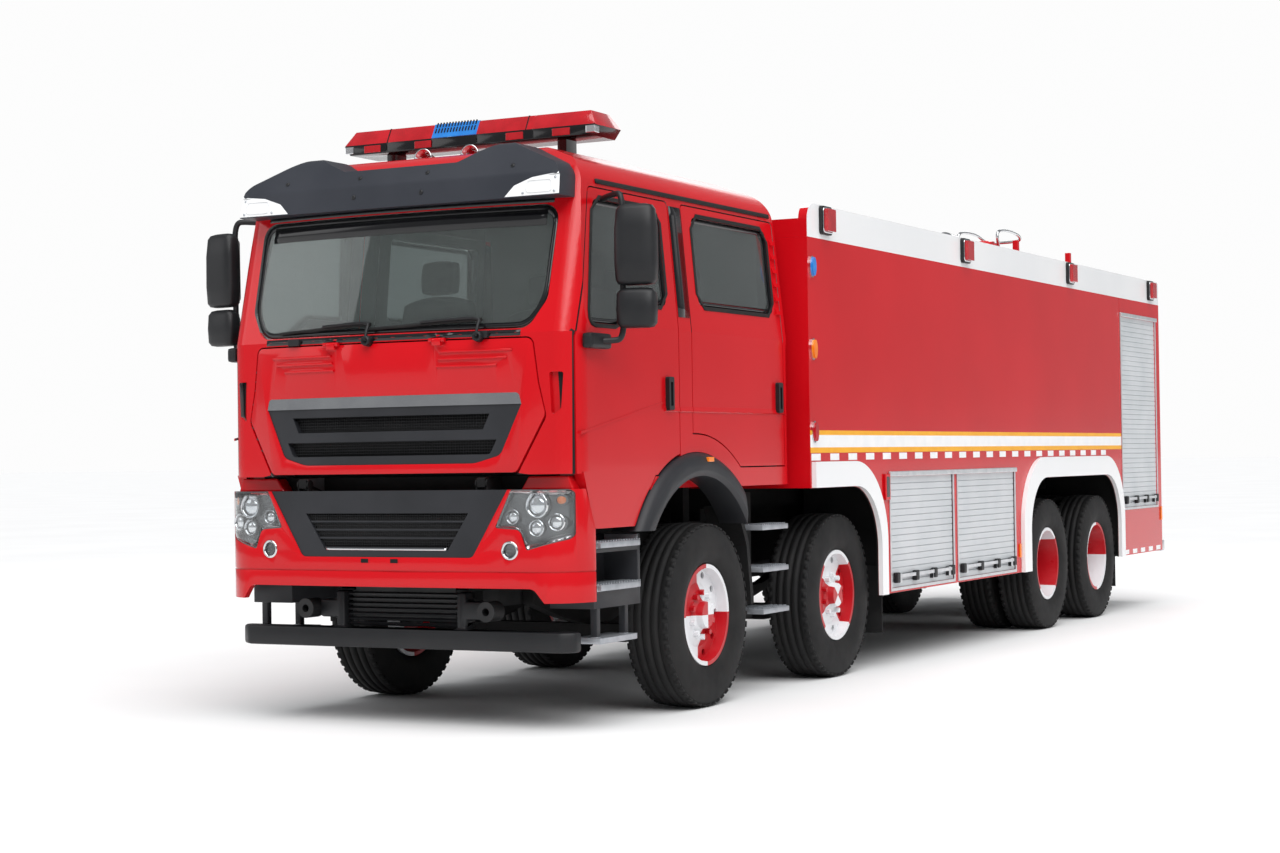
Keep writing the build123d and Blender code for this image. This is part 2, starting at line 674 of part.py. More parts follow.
with BuildPart() as front_lid:
    skin(0, lid_depth)
    front_prism(lid_rows(lid_dip), cab_front - 100, cab_front + lid_reach, mode=Mode.INTERSECT)
    front_prism(grille_outline, *nose_limits, mode=Mode.SUBTRACT)
    add(lid_ribs.part)
    for side_name, side in sides:
        hinge_x = side * lid_hinge_x
        for turn in (1, -1):
            near = hinge_x + turn * (barrel_half + 1)
            disc_x(near, near + turn * (cheek_length + 4), lid_hinge_y, lid_hinge_z, lid_barrel_radius + 5,
                   mode=Mode.SUBTRACT)
        disc_x(hinge_x - barrel_half, hinge_x + barrel_half, lid_hinge_y, lid_hinge_z, lid_barrel_radius)
        slab(hinge_x - barrel_half, hinge_x + barrel_half, lid_hinge_y - lid_barrel_radius, cab_front + 30,
             lid_top - 25, lid_hinge_z)
        disc_x(hinge_x - 60, hinge_x + 60, lid_hinge_y, lid_hinge_z, lid_pin_radius + running_gap,
               mode=Mode.SUBTRACT)
save(front_lid.part, "front_lid")

# Grille: bright band along the top, two rows of openings with a bar between
grille_rows = (
    ((650, lid_bottom + 330), (610, lid_bottom + 245)),
    ((690, lid_bottom + 190), (650, lid_bottom + 110, 30)),
)
with BuildPart() as grille_step:
    skin(0, 6)
    slab(-x_far, x_far, *nose_limits, lid_bottom, lid_bottom + 378, mode=Mode.INTERSECT)
with BuildPart() as upper_grille:
    skin(0, lid_depth)
    front_prism(grille_outline, *nose_limits, mode=Mode.INTERSECT, grow=-seat_gap)
    add(grille_step.part, mode=Mode.SUBTRACT)
    for half_row in grille_rows:
        front_prism(mirrored(half_row), cab_front - 100, cab_front + 400, mode=Mode.SUBTRACT)
save(upper_grille.part, "upper_grille")

# Visor over the windscreen, with a lamp blank let into each end
visor_z = gutter_z - 105
visor_side = shifted(((-1520, visor_z), (-1505, visor_z + 130, 60), (-1390, visor_z + 320, 120),
                      (-1120, visor_z + 345), (-1120, visor_z)), cab_y)
visor_front = mirrored(((cab_half_width - 90, visor_z), (cab_half_width - 102, visor_z + 170, 110),
                        (640, visor_z + 345, 160), (375, visor_z + 228, 60)))
visor_lamp = ((720, visor_z + 6), (cab_half_width - 60, visor_z + 6), (cab_half_width - 60, visor_z + 118),
              (890, visor_z + 104, 60), (770, visor_z + 62, 30))
with BuildPart() as lamp_blanks:
    for side_name, side in sides:
        front_prism(flipped(visor_lamp, side), cab_front - 100, cab_front + 300)
with BuildPart() as lamp_rooms:
    for side_name, side in sides:
        front_prism(flipped(visor_lamp, side), cab_front - 100, cab_front + 300, grow=seat_gap)


def visor_layer(outset):
    """Visor's bowed block, grown from the windscreen by outset, in the part being built."""
    extrude(plan_sketch(cab_belt + 450, -outset, *cab_plan), amount=800, dir=(0, screen_rake, 1))
    side_prism(visor_side, -x_far, x_far, mode=Mode.INTERSECT)
    front_prism(visor_front, cab_front - 100, cab_front + 700, mode=Mode.INTERSECT)
    add(cab_outer, mode=Mode.SUBTRACT)


with BuildPart() as blanks:
    visor_layer(54)
    add(lamp_blanks.part, mode=Mode.INTERSECT)
with BuildPart() as visor:
    visor_layer(60)
    add(lamp_rooms.part, mode=Mode.SUBTRACT)
    add(blanks.part)
save(visor.part, "visor")

# Light bar on two feet: tapered ends, seams between the lens modules
bar_y = cab_y - 600
bar_half = 865
bar_z = roof_top + 95
bar_profile = shifted(((-150, bar_z), (150, bar_z), (150, bar_z + 60), (105, bar_z + 145),
                       (-105, bar_z + 145),
                       (-150, bar_z + 60)), bar_y)
bar_front = mirrored(((bar_half - 40, bar_z), (bar_half, bar_z + 55), (bar_half - 55, bar_z + 145)))
bar_seams = (-560, -245, 70, 450)
with BuildPart() as light_bar:
    side_prism(bar_profile, -bar_half, bar_half)
    front_prism(bar_front, bar_y - 200, bar_y + 200, mode=Mode.INTERSECT)
    for seam_x in bar_seams:
        slab(seam_x - 3, seam_x + 3, bar_y - 200, bar_y + 200, bar_z + 140, bar_z + 150, mode=Mode.SUBTRACT)
        for turn in (1, -1):
            slab(seam_x - 3, seam_x + 3, bar_y + turn * 145, bar_y + turn * 200, bar_z + 10, bar_z + 62,
                 mode=Mode.SUBTRACT)
    for side_name, side in sides:
        slab(side * 560, side * 620, bar_y - 60, bar_y + 60, roof_top + seat_gap, bar_z + 2)
save(light_bar.part, "light_bar")

# Inside the cab: dashboard with the steering wheel, then the seats
floor_z = cab_floor + cab_wall + seat_gap
dash_profile = shifted((
    (-1700, cab_floor + 170), (-1400, cab_floor + 170), (-1330, cab_belt - 250, 60), (-1240,
                                                                                      cab_belt - 250),
    (-1170, cab_belt - 150, 40), (-1180, cab_belt - 65, 40), (-1430, cab_belt - 30), (-1700,
                                                                                      cab_belt - 30)), cab_y)
steering_plane = Plane(origin=(500, cab_y - 1000, cab_belt - 120), x_dir=(1, 0, 0), z_dir=(0, 0.62, 0.78))
with BuildPart() as dashboard:
    side_prism(dash_profile, -door_x, door_x)
    add(cab_volume(firewall_depth + seat_gap), mode=Mode.INTERSECT)
    with BuildSketch(steering_plane) as steering_rim:
        Circle(225)
        Circle(195, mode=Mode.SUBTRACT)
        Rectangle(400, 50)
        Circle(60)
    extrude(steering_rim.sketch, amount=28)
    with BuildSketch(steering_plane) as column:
        Circle(38)
    extrude(column.sketch, amount=-640)
save(dashboard.part, "dashboard")

# Columns: seat centre X, Y from the cab datum, width
seat_table = ((500, -560, 560), (-500, -560, 560), (500, 720, 620), (-500, 720, 620), (0, 720, 360))
seat_gap_x = 10
with BuildPart() as seats:
    for seat_x, seat_y, seat_width in seat_table:
        half = seat_width / 2 - seat_gap_x
        x0, x1 = seat_x - half, seat_x + half
        y = cab_y + seat_y
        slab(x0 + 60, x1 - 60, y - 150, y + 150, floor_z, floor_z + 310)
        cushion = ((y - 250, floor_z + 290, 40), (y + 260, floor_z + 290), (y + 260, floor_z + 430),
                   (y - 250, floor_z + 430, 60))
        side_prism(cushion, x0, x1)
        back = ((y + 150, floor_z + 420), (y + 260, floor_z + 420), (y + 330, floor_z + 1130, 40),
                (y + 240, floor_z + 1130, 40))
        side_prism(back, x0, x1)
        head = ((y + 235, floor_z + 1110), (y + 325, floor_z + 1110), (y + 335, floor_z + 1340, 35),
                (y + 255, floor_z + 1340, 35))
        side_prism(head, seat_x - 130, seat_x + 130)
save(seats.part, "seats")

# Black arches over the front wheels: a rounded lip turned about the arch's centre
lip_out = cab_half_width + 52
fender_profile = ((door_x + 15.3, arch_inner), (lip_out - 14, arch_inner), (lip_out, arch_inner + 30, 20),
                  (lip_out, arch_outer - 0.6, 70), (door_x + 15.3, arch_outer - 0.6))
with BuildPart() as fenders:
    for side_name, side in sides:
        plane = Plane(origin=(0, arch_y, arch_z), x_dir=(side, 0, 0), z_dir=(0, -side, 0))
        revolve(outline(fender_profile, plane), axis=Axis((0, arch_y, arch_z), (1, 0, 0)))
        slab(side * (door_x - 10), side * (lip_out + 10), arch_y - 1000, arch_y + 1000, -400,
             cab_floor - 228,
             mode=Mode.SUBTRACT)
        rear_cut = ((arch_y + 620, 1000), (arch_y + 1000, 1000), (arch_y + 1000, 1600),
                    (arch_y + 480, 1600))
        side_prism(rear_cut, side * (door_x - 10), side * (lip_out + 10), mode=Mode.SUBTRACT)
save(fenders.part, "fenders")

# Bumper, lower panel and lamps, cut from one bowed layer
bumper_back = ((front_end + 165, bumper_top + 90), (front_end + 265, door_apron_z),
               (front_end + 265, bumper_bottom - 105), (front_end + 740, bumper_bottom - 105),
               (front_end + 740, bumper_top + 90))
bumper_limits = (front_end - 50, front_end + 400)


def front_layer(outer_inset, inner_inset, z0, z1):
    """Bowed front layer between two insets, in the part being built."""
    extrude(plan_sketch(z0, outer_inset, *bumper_plan), amount=z1 - z0)
    extrude(plan_sketch(z0 - 1, inner_inset, *bumper_plan), amount=z1 - z0 + 2, mode=Mode.SUBTRACT)
    side_prism(bumper_back, -x_far, x_far, mode=Mode.SUBTRACT)


panel_outline = mirrored(((780, bumper_top), (560, bumper_top - 365, 40)))
panel_recess = mirrored(((535, bumper_top - 125), (405, bumper_top - 325)))
lamp_outline = ((800, bumper_top, 10), (700, bumper_top - 205, 10), (850, bumper_top - 215, 40),
                (890, bumper_top - 325, 15), (bumper_half_width - 50, bumper_top - 260, 40),
                (bumper_half_width - 50, bumper_top, 30))
belly = ((-1000, bumper_bottom - 15), (1000, bumper_bottom - 15), (930, bumper_bottom + 77, 60),
         (-930, bumper_bottom + 77, 60))
step_line_z = bumper_bottom + 165
fog_x = 790
fog_z = bumper_top - 325
fog_radius = 48
with BuildPart() as step_line:
    front_layer(0, 5, step_line_z - 4, step_line_z + 4)
with BuildPart() as front_bumper:
    front_layer(0, bumper_depth, bumper_bottom, bumper_top)
    add(step_line.part, mode=Mode.SUBTRACT)
    front_prism(belly, *bumper_limits, mode=Mode.SUBTRACT)
    front_prism(panel_outline, *bumper_limits, mode=Mode.SUBTRACT)
    for side_name, side in sides:
        front_prism(flipped(lamp_outline, side), *bumper_limits, mode=Mode.SUBTRACT)
        disc_y(front_end - 50, front_end + 200, side * fog_x, fog_z, fog_radius, mode=Mode.SUBTRACT)
save(front_bumper.part, "front_bumper")

recess_strip = mirrored(((405, bumper_top - 310), (395, bumper_top - 325)))
panel_bars = 3
with BuildPart() as panel_pocket:
    front_layer(0, bumper_depth - 16, bumper_top - 400, bumper_top)
    front_prism(panel_recess, *bumper_limits, mode=Mode.INTERSECT)
    for n in range(panel_bars):
        bar_z0 = bumper_top - 170 - 45 * n
        slab(-600, 600, front_end + 18, front_end + 200, bar_z0 - 5, bar_z0 + 5, mode=Mode.SUBTRACT)
    front_prism(recess_strip, front_end - 50, front_end + 400, mode=Mode.SUBTRACT)
with BuildPart() as lower_panel:
    front_layer(6, bumper_depth - 8, bumper_top - 410, bumper_top)
    front_prism(panel_outline, *bumper_limits, mode=Mode.INTERSECT, grow=-seat_gap)
    add(panel_pocket.part, mode=Mode.SUBTRACT)
save(lower_panel.part, "lower_panel")

# Headlamp housings: a bowl behind each clear cover holds four reflectors and an indicator
lamp_rim = 12
bowl_depth = 34
# Columns: X, drop from the bumper's top, reflector radius
reflector_table = ((945, 85, 74), (800, 150, 44), (940, 205, 50), (1045, 180, 50), (1068, 58, 30))
with BuildPart() as lamp_mask:
    for side_name, side in sides:
        front_prism(flipped(lamp_outline, side), *bumper_limits, grow=-seat_gap)
        disc_y(front_end - 50, front_end + 200, side * fog_x, fog_z, fog_radius - seat_gap)
with BuildPart() as bowl_mask:
    for side_name, side in sides:
        front_prism(flipped(lamp_outline, side), *bumper_limits, grow=-lamp_rim)
        disc_y(front_end - 50, front_end + 200, side * fog_x, fog_z, fog_radius - 10)
with BuildPart() as lamp_bowls:
    front_layer(0, bowl_depth, bumper_top - 410, bumper_top)
    add(bowl_mask.part, mode=Mode.INTERSECT)
with BuildPart() as reflector_mask:
    for side_name, side in sides:
        for lamp_x, drop, radius in reflector_table:
            disc_y(front_end, front_end + 300, side * lamp_x, bumper_top - drop, radius)
            disc_y(front_end, front_end + 300, side * lamp_x, bumper_top - drop, radius - 9,
                   mode=Mode.SUBTRACT)
with BuildPart() as reflectors:
    front_layer(12, bowl_depth + 6, bumper_top - 410, bumper_top)
    add(reflector_mask.part, mode=Mode.INTERSECT)
with BuildPart() as front_lamps:
    front_layer(4, bumper_depth + 20, bumper_top - 410, bumper_top)
    add(lamp_mask.part, mode=Mode.INTERSECT)
    add(lamp_bowls.part, mode=Mode.SUBTRACT)
    add(reflectors.part)
    add(lamp_mask.part, mode=Mode.INTERSECT)
save(front_lamps.part, "front_lamps")

# Under-run bar on hangers below the rails, with a towing socket beside each hanger
bar_half_width = 1100
socket_z = 650
socket_radius = 22
socket_wall = 33
socket_x = rail_outer_x + 110 + seat_gap + socket_radius + socket_wall
with BuildPart() as underrun_bar:
    bar_plan = mirrored(((bar_half_width - 70, front_end + 120), (bar_half_width, front_end + 175),
                         (bar_half_width, front_end + 240)))
    extrude(outline(bar_plan, Plane.XY.offset(435)), amount=110)
    for side_name, side in sides:
        slab(side * (rail_outer_x - 60), side * rail_outer_x, front_end + 140, front_end + 240, 540, hang_z)
        slab(side * (rail_outer_x - 20), side * (rail_outer_x + 110), front_end + 140, front_end + 220,
             socket_z - 50, socket_z + 50)
save(underrun_bar.part, "underrun_bar")

with BuildPart() as tow_sockets:
    for side_name, side in sides:
        disc_y(front_end + 80, front_end + 190, side * socket_x, socket_z, socket_radius + socket_wall)
        disc_y(front_end + 70, front_end + 180, side * socket_x, socket_z, socket_radius,
               mode=Mode.SUBTRACT)
save(tow_sockets.part, "tow_sockets")

# Steps: a boxed pair under each front door, open treads under each rear door, brackets from the rails
tread_out = cab_half_width + 10
tread_thick = 32
step_back = cab_half_width - 290
box_limits = (cab_y - 1335, cab_y - 800)
crew_limits = (cab_y + 775, cab_y + 1160)
box_treads = (755, 985)
crew_treads = (490, 750, 1010)
with BuildPart() as steps:
    for side_name, side in sides:
        y0, y1 = box_limits
        slab(side * step_back, side * (cab_half_width - 15), y0, y1, 660, 1050)
        for tread_z in box_treads:
            slab(side * (step_back + 60), side * (cab_half_width + 50), y0 + 30, y1 - 30,
                 tread_z + tread_thick,
                 min(tread_z + 205, 1070), mode=Mode.SUBTRACT)
            slab(side * (cab_half_width - 120), side * tread_out, y0 + 40, y1 - 40, tread_z,
                 tread_z + tread_thick)
        slab(side * (cab_half_width - 170), side * tread_out, y0 + 25, y1 - 90, 470, 470 + tread_thick)
        for strap_y in (y0 + 75, y1 - 140):
            slab(side * (cab_half_width - 70), side * (cab_half_width - 30), strap_y - 20, strap_y + 20,
                 480, 662)
        y0, y1 = crew_limits
        slab(side * step_back, side * (step_back + 40), y0, y1, 440, 1240)
        for tread_z in crew_treads:
            slab(side * (step_back + 30), side * tread_out, y0, y1, tread_z, tread_z + tread_thick)
        for y0, y1 in (box_limits, crew_limits):
            middle = (y0 + y1) / 2
            slab(side * (rail_outer_x + seat_gap), side * (step_back + 2), middle - 60, middle + 60,
                 rail_bottom + 50, rail_bottom + 130)
save(steps.part, "steps")

# Tank body: upper tank, side lockers, round-cornered wheel arches
arch_top = body_shoulder - 2
arch_1_rear = axle_2_y + 505
arch_2_front = axle_3_y - 650
arch_2_rear = axle_4_y + 525
arch_1 = ((body_front - 300, 0), (arch_1_rear, 0), (arch_1_rear, arch_top, arch_radius),
          (body_front - 300, arch_top))
arch_2 = ((arch_2_front, 0), (arch_2_rear, 0), (arch_2_rear, arch_top, arch_radius),
          (arch_2_front, arch_top, arch_radius))
bay_1_rear = axle_2_y + 690
bay_2_limits = (axle_3_y - 830, axle_4_y + 580)
locker_1 = axle_2_y + 740
locker_2 = locker_1 + locker_width + locker_post
# Columns: front, rear, bottom, top of each side shutter
shutter_table = (
    (locker_1, locker_1 + locker_width, body_bottom + 35, body_shoulder + 53),
    (locker_2, axle_3_y - 990, body_bottom + 35, body_shoulder + 53),
    (axle_4_y + 700, body_rear - 160, body_bottom + 440, body_deck - 170),
)
rear_shutter = (-body_half_width + 350, body_half_width - 350, body_bottom + 440, body_deck - 170)
seam_y = axle_4_y + 670
with BuildPart() as tank_body:
    slab(-body_half_width, body_half_width, body_front, body_rear, body_shoulder, body_deck)
    slab(-skirt_inner + 60, skirt_inner - 60, body_front, body_rear, body_floor, body_shoulder)
    for side_name, side in sides:
        skin_x = side * body_half_width
        past_x = side * (body_half_width + 50)
        inner_x = side * (skirt_inner - 20)
        slab(side * skirt_inner, skin_x, body_front, body_rear, body_bottom, body_shoulder)
        slab(side * (skirt_inner - 120), side * (skirt_inner + 1), axle_4_y + 570, body_rear,
             body_floor - 70,
             body_shoulder)
        slab(side * rail_inner_x, side * rail_outer_x, body_front + 60, rail_rear, rail_top + seat_gap,
             body_floor)
        side_prism(arch_1, inner_x, past_x, mode=Mode.SUBTRACT)
        side_prism(arch_2, inner_x, past_x, mode=Mode.SUBTRACT)
        slab(inner_x, skin_x - side * skirt_wall, body_front - 300, bay_1_rear, body_bottom - 100, arch_top,
             mode=Mode.SUBTRACT)
        slab(inner_x, skin_x - side * skirt_wall, *bay_2_limits, body_bottom - 100, arch_top,
             mode=Mode.SUBTRACT)
        for y0, y1, z0, z1 in shutter_table:
            slab(skin_x - side * recess_depth, past_x, y0, y1, z0, z1, mode=Mode.SUBTRACT)
        slab(skin_x - side * 4, past_x, seam_y - 4, seam_y + 4, body_shoulder + 180, body_deck + 1,
             mode=Mode.SUBTRACT)
    x0, x1, z0, z1 = rear_shutter
    slab(x0, x1, body_rear - recess_depth, body_rear + 10, z0, z1, mode=Mode.SUBTRACT)
    disc_z(body_deck - 5, body_deck + 30, 0, monitor_y, 170)
    disc_z(body_deck - 5, riser_top, 0, monitor_y, 75)
save(tank_body.part, "tank_body")

parapet_side = ((body_front, body_deck + seat_gap), (body_rear, body_deck + seat_gap),
                (body_rear, parapet_top, 40),
                (body_front, parapet_top, 110))
with BuildPart() as parapet:
    for side_name, side in sides:
        side_prism(parapet_side, side * (body_half_width - parapet_width), side * body_half_width)
    for wall_y in (body_front, body_rear - parapet_width):
        slab(-body_half_width + parapet_width, body_half_width - parapet_width, wall_y,
             wall_y + parapet_width,
             body_deck + seat_gap, body_deck + 120)
save(parapet.part, "parapet")


def slatted(depth_0, depth_1, z0, z1):
    """(depth, Z) outline of a roller curtain: flat back, a groove between each two slats."""
    rows = [(depth_0, z1), (depth_0, z0), (depth_1, z0)]
    grooves = int((z1 - z0 - slat_groove) // slat_pitch)
    inward = slat_groove if depth_0 < depth_1 else -slat_groove
    for n in range(1, grooves + 1):
        z = z0 + n * slat_pitch
        rows += [(depth_1, z - slat_groove / 2), (depth_1 - inward, z), (depth_1, z + slat_groove / 2)]
    return rows + [(depth_1, z1)]


# Roller shutters with a lift bar on four brackets
bracket_half = 22
bar_inset = 70
with BuildPart() as shutters:
    for side_name, side in sides:
        back_x = side * (body_half_width - recess_depth + seat_gap)
        face_x = side * (body_half_width - 6)
        for y0, y1, z0, z1 in shutter_table:
            curtain = slatted(back_x, face_x, z0 + seat_gap, z1 - seat_gap)
            with BuildSketch(Plane.XZ.offset(-y1 + seat_gap)) as curtain_sketch:
                Polygon(*curtain, align=None)
            extrude(curtain_sketch.sketch, amount=y1 - y0 - 2 * seat_gap)
            slab(face_x + side * 8, side * (body_half_width + 26), y0 + bar_inset, y1 - bar_inset, z0 + 66,
                 z0 + 90)
            for n in range(4):
                bracket_y = y0 + bar_inset + 60 + n * (y1 - y0 - 2 * bar_inset - 120) / 3
                slab(face_x - side, side * (body_half_width + 20), bracket_y - bracket_half,
                     bracket_y + bracket_half,
                     z0 + 30, z0 + 95)
    x0, x1, z0, z1 = rear_shutter
    back_y = body_rear - recess_depth + seat_gap
    curtain = slatted(back_y, body_rear - 6, z0 + seat_gap, z1 - seat_gap)
    with BuildSketch(Plane.YZ.offset(x0 + seat_gap)) as curtain_sketch:
        Polygon(*curtain, align=None)
    extrude(curtain_sketch.sketch, amount=x1 - x0 - 2 * seat_gap)
save(shutters.part, "shutters")

# White arch surrounds, concentric with the arches at their inner corners
surround_top = body_shoulder + 166
inner_corner = arch_radius + 2
surround_1 = (
    (body_front + 20, body_shoulder), (body_front + 20, surround_top), (arch_1_rear + 110, surround_top,
                                                                        surround_radius),
    (arch_1_rear + 110, body_bottom), (arch_1_rear + 2, body_bottom), (arch_1_rear + 2, body_shoulder,
                                                                       inner_corner),
)
surround_2 = (
    (arch_2_front - 180, body_bottom), (arch_2_front - 180, surround_top, surround_radius),
    (arch_2_rear + 120, surround_top, surround_radius), (arch_2_rear + 120, body_bottom),
    (arch_2_rear + 2, body_bottom), (arch_2_rear + 2, body_shoulder, inner_corner),
    (arch_2_front - 2, body_shoulder, inner_corner), (arch_2_front - 2, body_bottom),
)
with BuildPart() as arch_trims:
    for side_name, side in sides:
        x0 = side * (body_half_width + seat_gap)
        x1 = side * (body_half_width + surround_proud)
        side_prism(surround_1, x0, x1)
        side_prism(surround_2, x0, x1)
save(arch_trims.part, "arch_trims")

# Mud flaps: a stepped guard behind each front wheel, plain flaps behind axles 2 and 4
flap_thick = 11.5
guard_front = ((520, 1165), (560, 1165), (660, 1000), (690, 930), (745, 600), (745, 560), (705, 560),
               (705, 600),
               (652, 925), (622, 985))
with BuildPart() as mud_flaps:
    for side_name, side in sides:
        side_prism(shifted(guard_front, axle_1_y), side * (step_back + 20), side * (cab_half_width - 40))
        slab(side * (rail_outer_x + seat_gap), side * (step_back + 22), axle_1_y + 640, axle_1_y + 680,
             rail_bottom + 170, rail_bottom + 220)
        flap_out = side * (body_half_width - 50)
        slab(side * (skirt_inner + 100), flap_out, bay_1_rear - flap_thick - seat_gap,
             bay_1_rear - seat_gap, 240, 700)
        slab(side * (skirt_inner + 20), flap_out, bay_2_limits[1] - flap_thick - seat_gap,
             bay_2_limits[1] - seat_gap, 240, 700)
save(mud_flaps.part, "mud_flaps")

# Lamps on the body: roof-edge flashers, ovals at the front corner, tail lamps
flasher_stations = (body_front + 280, locker_1 + 1580, bogie_y - 140, body_rear - 320)
oval_z = (body_deck - 190, body_deck - 720, body_deck - 1250)
with BuildPart() as body_lamps:
    for side_name, side in sides:
        near = side * (body_half_width + seat_gap)
        for station in flasher_stations:
            bezel = ((station - 85, body_deck + 30), (station + 85, body_deck + 30),
                     (station + 85, parapet_top - 5),
                     (station - 85, parapet_top - 5))
            side_prism(rounded(bezel, 25), near, side * (body_half_width + 22))
            side_prism(rounded(bezel, 25), side * (body_half_width + 20), side * (body_half_width + 58),
                       grow=-20)
        for z in oval_z:
            for grow, depth in ((0, 10), (-10, 26)):
                with BuildSketch(Plane.YZ.offset(near)) as oval:
                    with Locations((body_front + 60, z)):
                        Ellipse(38 + grow, 70 + grow)
                extrude(oval.sketch, amount=side * depth)
        slab(side * (body_half_width - 290), side * (body_half_width - 40), body_rear + seat_gap,
             body_rear + 45,
             640, 760)
save(body_lamps.part, "body_lamps")

with BuildPart() as rear_bumper:
    slab(-body_half_width + 10, body_half_width - 10, body_rear + seat_gap, rear_end, body_bottom - 10, 600)
    for side_name, side in sides:
        slab(side * (rail_outer_x - 60), side * rail_outer_x, rail_rear + seat_gap, rear_end, 598,
             rail_bottom + 150)
save(rear_bumper.part, "rear_bumper")

ladder_y = body_rear + 70
ladder_rails = (-body_half_width + 70, -body_half_width + 310)
rung_pitch = 280
with BuildPart() as roof_ladder:
    for rail_x in ladder_rails:
        slab(rail_x - 16, rail_x + 16, ladder_y - 16, ladder_y + 16, 900, parapet_top + 90)
        for bracket_z in (1000, body_deck - 120):
            slab(rail_x - 16, rail_x + 16, body_rear + seat_gap, ladder_y, bracket_z, bracket_z + 40)
    for n in range(int((parapet_top - 900) // rung_pitch)):
        disc_x(*ladder_rails, ladder_y, 1000 + rung_pitch * n, 14)
save(roof_ladder.part, "roof_ladder")

# Roof monitor: swivel with two cheeks, barrel with a flared nozzle
cheek_x = 100
swivel_half = 130
with BuildPart() as monitor_swivel:
    disc_z(riser_top + seat_gap, riser_top + 80, 0, monitor_y, 95)
    for turn in (1, -1):
        slab(turn * cheek_x, turn * swivel_half, monitor_y - 60, monitor_y + 60, riser_top + 30, monitor_z)
        disc_x(turn * cheek_x, turn * swivel_half, monitor_y, monitor_z, 60)
    slab(-swivel_half, swivel_half, monitor_y - 60, monitor_y + 60, riser_top + 20, riser_top + 70)
    disc_x(-swivel_half, swivel_half, monitor_y, monitor_z, trunnion_radius)
save(monitor_swivel.part, "monitor_swivel")

barrel_profile = ((0, 62), (500, 52), (780, 58), (830, 84), (1050, 92), (1050, 70), (850, 40), (0, 0))
barrel_plane = Plane(origin=(0, monitor_y, monitor_z), x_dir=(0, -1, 0), z_dir=(1, 0, 0))
with BuildPart() as monitor_barrel:
    disc_x(-cheek_x + 6, cheek_x - 6, monitor_y, monitor_z, 85)
    with BuildSketch(barrel_plane) as barrel_half:
        Polygon(*barrel_profile, (0, 62), align=None)
    revolve(barrel_half.sketch, axis=Axis((0, monitor_y, monitor_z), (0, 1, 0)))
    disc_x(-swivel_half, swivel_half, monitor_y, monitor_z, trunnion_radius + running_gap,
           mode=Mode.SUBTRACT)
save(monitor_barrel.part, "monitor_barrel")
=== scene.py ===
import json
import math
from itertools import product

import bmesh
import bpy
from mathutils import Euler, Matrix, Vector
from mathutils.bvhtree import BVHTree

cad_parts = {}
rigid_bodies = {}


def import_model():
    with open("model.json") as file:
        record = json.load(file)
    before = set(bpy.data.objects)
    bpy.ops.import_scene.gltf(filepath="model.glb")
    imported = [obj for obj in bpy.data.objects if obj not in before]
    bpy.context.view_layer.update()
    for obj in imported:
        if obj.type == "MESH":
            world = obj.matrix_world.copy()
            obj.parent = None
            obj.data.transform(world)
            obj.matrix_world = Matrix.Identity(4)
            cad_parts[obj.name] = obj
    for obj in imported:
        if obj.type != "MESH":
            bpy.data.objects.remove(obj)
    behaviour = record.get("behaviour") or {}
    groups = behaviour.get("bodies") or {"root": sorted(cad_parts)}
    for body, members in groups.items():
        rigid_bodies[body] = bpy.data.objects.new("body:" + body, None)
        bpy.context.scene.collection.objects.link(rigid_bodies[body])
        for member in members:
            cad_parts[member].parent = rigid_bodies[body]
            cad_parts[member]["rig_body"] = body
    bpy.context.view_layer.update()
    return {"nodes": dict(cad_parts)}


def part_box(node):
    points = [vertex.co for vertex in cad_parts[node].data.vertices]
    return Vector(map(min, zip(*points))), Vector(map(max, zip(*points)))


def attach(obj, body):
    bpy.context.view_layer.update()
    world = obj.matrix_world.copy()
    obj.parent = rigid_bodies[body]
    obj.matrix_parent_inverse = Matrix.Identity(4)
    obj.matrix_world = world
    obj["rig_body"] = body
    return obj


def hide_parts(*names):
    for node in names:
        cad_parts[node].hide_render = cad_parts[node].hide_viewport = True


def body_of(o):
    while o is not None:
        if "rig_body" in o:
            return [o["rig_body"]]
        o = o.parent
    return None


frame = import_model()
nodes = frame["nodes"]
sides = (("left", "Left", 1), ("right", "Right", -1))
ends = (("front", "Front"), ("rear", "Rear"))


def middle(node):
    low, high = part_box(node)
    return (low + high) / 2


axleY = {n: middle(f"wheel_{n}_left").y for n in "1234"}
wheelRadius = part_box("tyre_1_left")[1].z / 2
cabLow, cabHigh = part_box("cab_shell")
bodyLow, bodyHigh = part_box("tank_body")
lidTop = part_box("front_lid")[1].z
deckZ, parapetTop = (corner.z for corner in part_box("parapet"))
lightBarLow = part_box("light_bar")[0].z
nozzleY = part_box("monitor_barrel")[0].y
bodyX = bodyHigh.x
cabX = 1.15
cabY = axleY["1"] + 0.008  # the cab's own datum, over the first axle
noseY = cabY - 1.63
noseBow = 0.11
print("frame loaded:", len(nodes), "nodes")


# finishes: each is a principled shader with its own grain and sheen
grain = {"detail": 3.0, "fineDetail": 2.0, "roughScale": 3.1, "bumpReach": 0.002, "coatRough": 0.04,
         "clearScale": 1.2, "clearRoughScale": 6.0, "clearRoughSpan": 2.2, "clearIor": 1.45}


def newFinish(name):
    mat = bpy.data.materials.new(name)
    mat.use_nodes = True
    return mat, mat.node_tree, mat.node_tree.nodes["Principled BSDF"]


def addNode(tree, kind, links=(), **values):
    node = tree.nodes.new(kind)
    for key, value in values.items():
        if hasattr(node, key) and key not in node.inputs:
            setattr(node, key, value)
        else:
            node.inputs[key].default_value = value
    for source, socket in links:
        tree.links.new(source, node.inputs[socket])
    return node


def setInputs(node, **values):  # underscores in a key stand for the spaces of a socket's name
    for key, value in values.items():
        node.inputs[key.replace("_", " ")].default_value = value


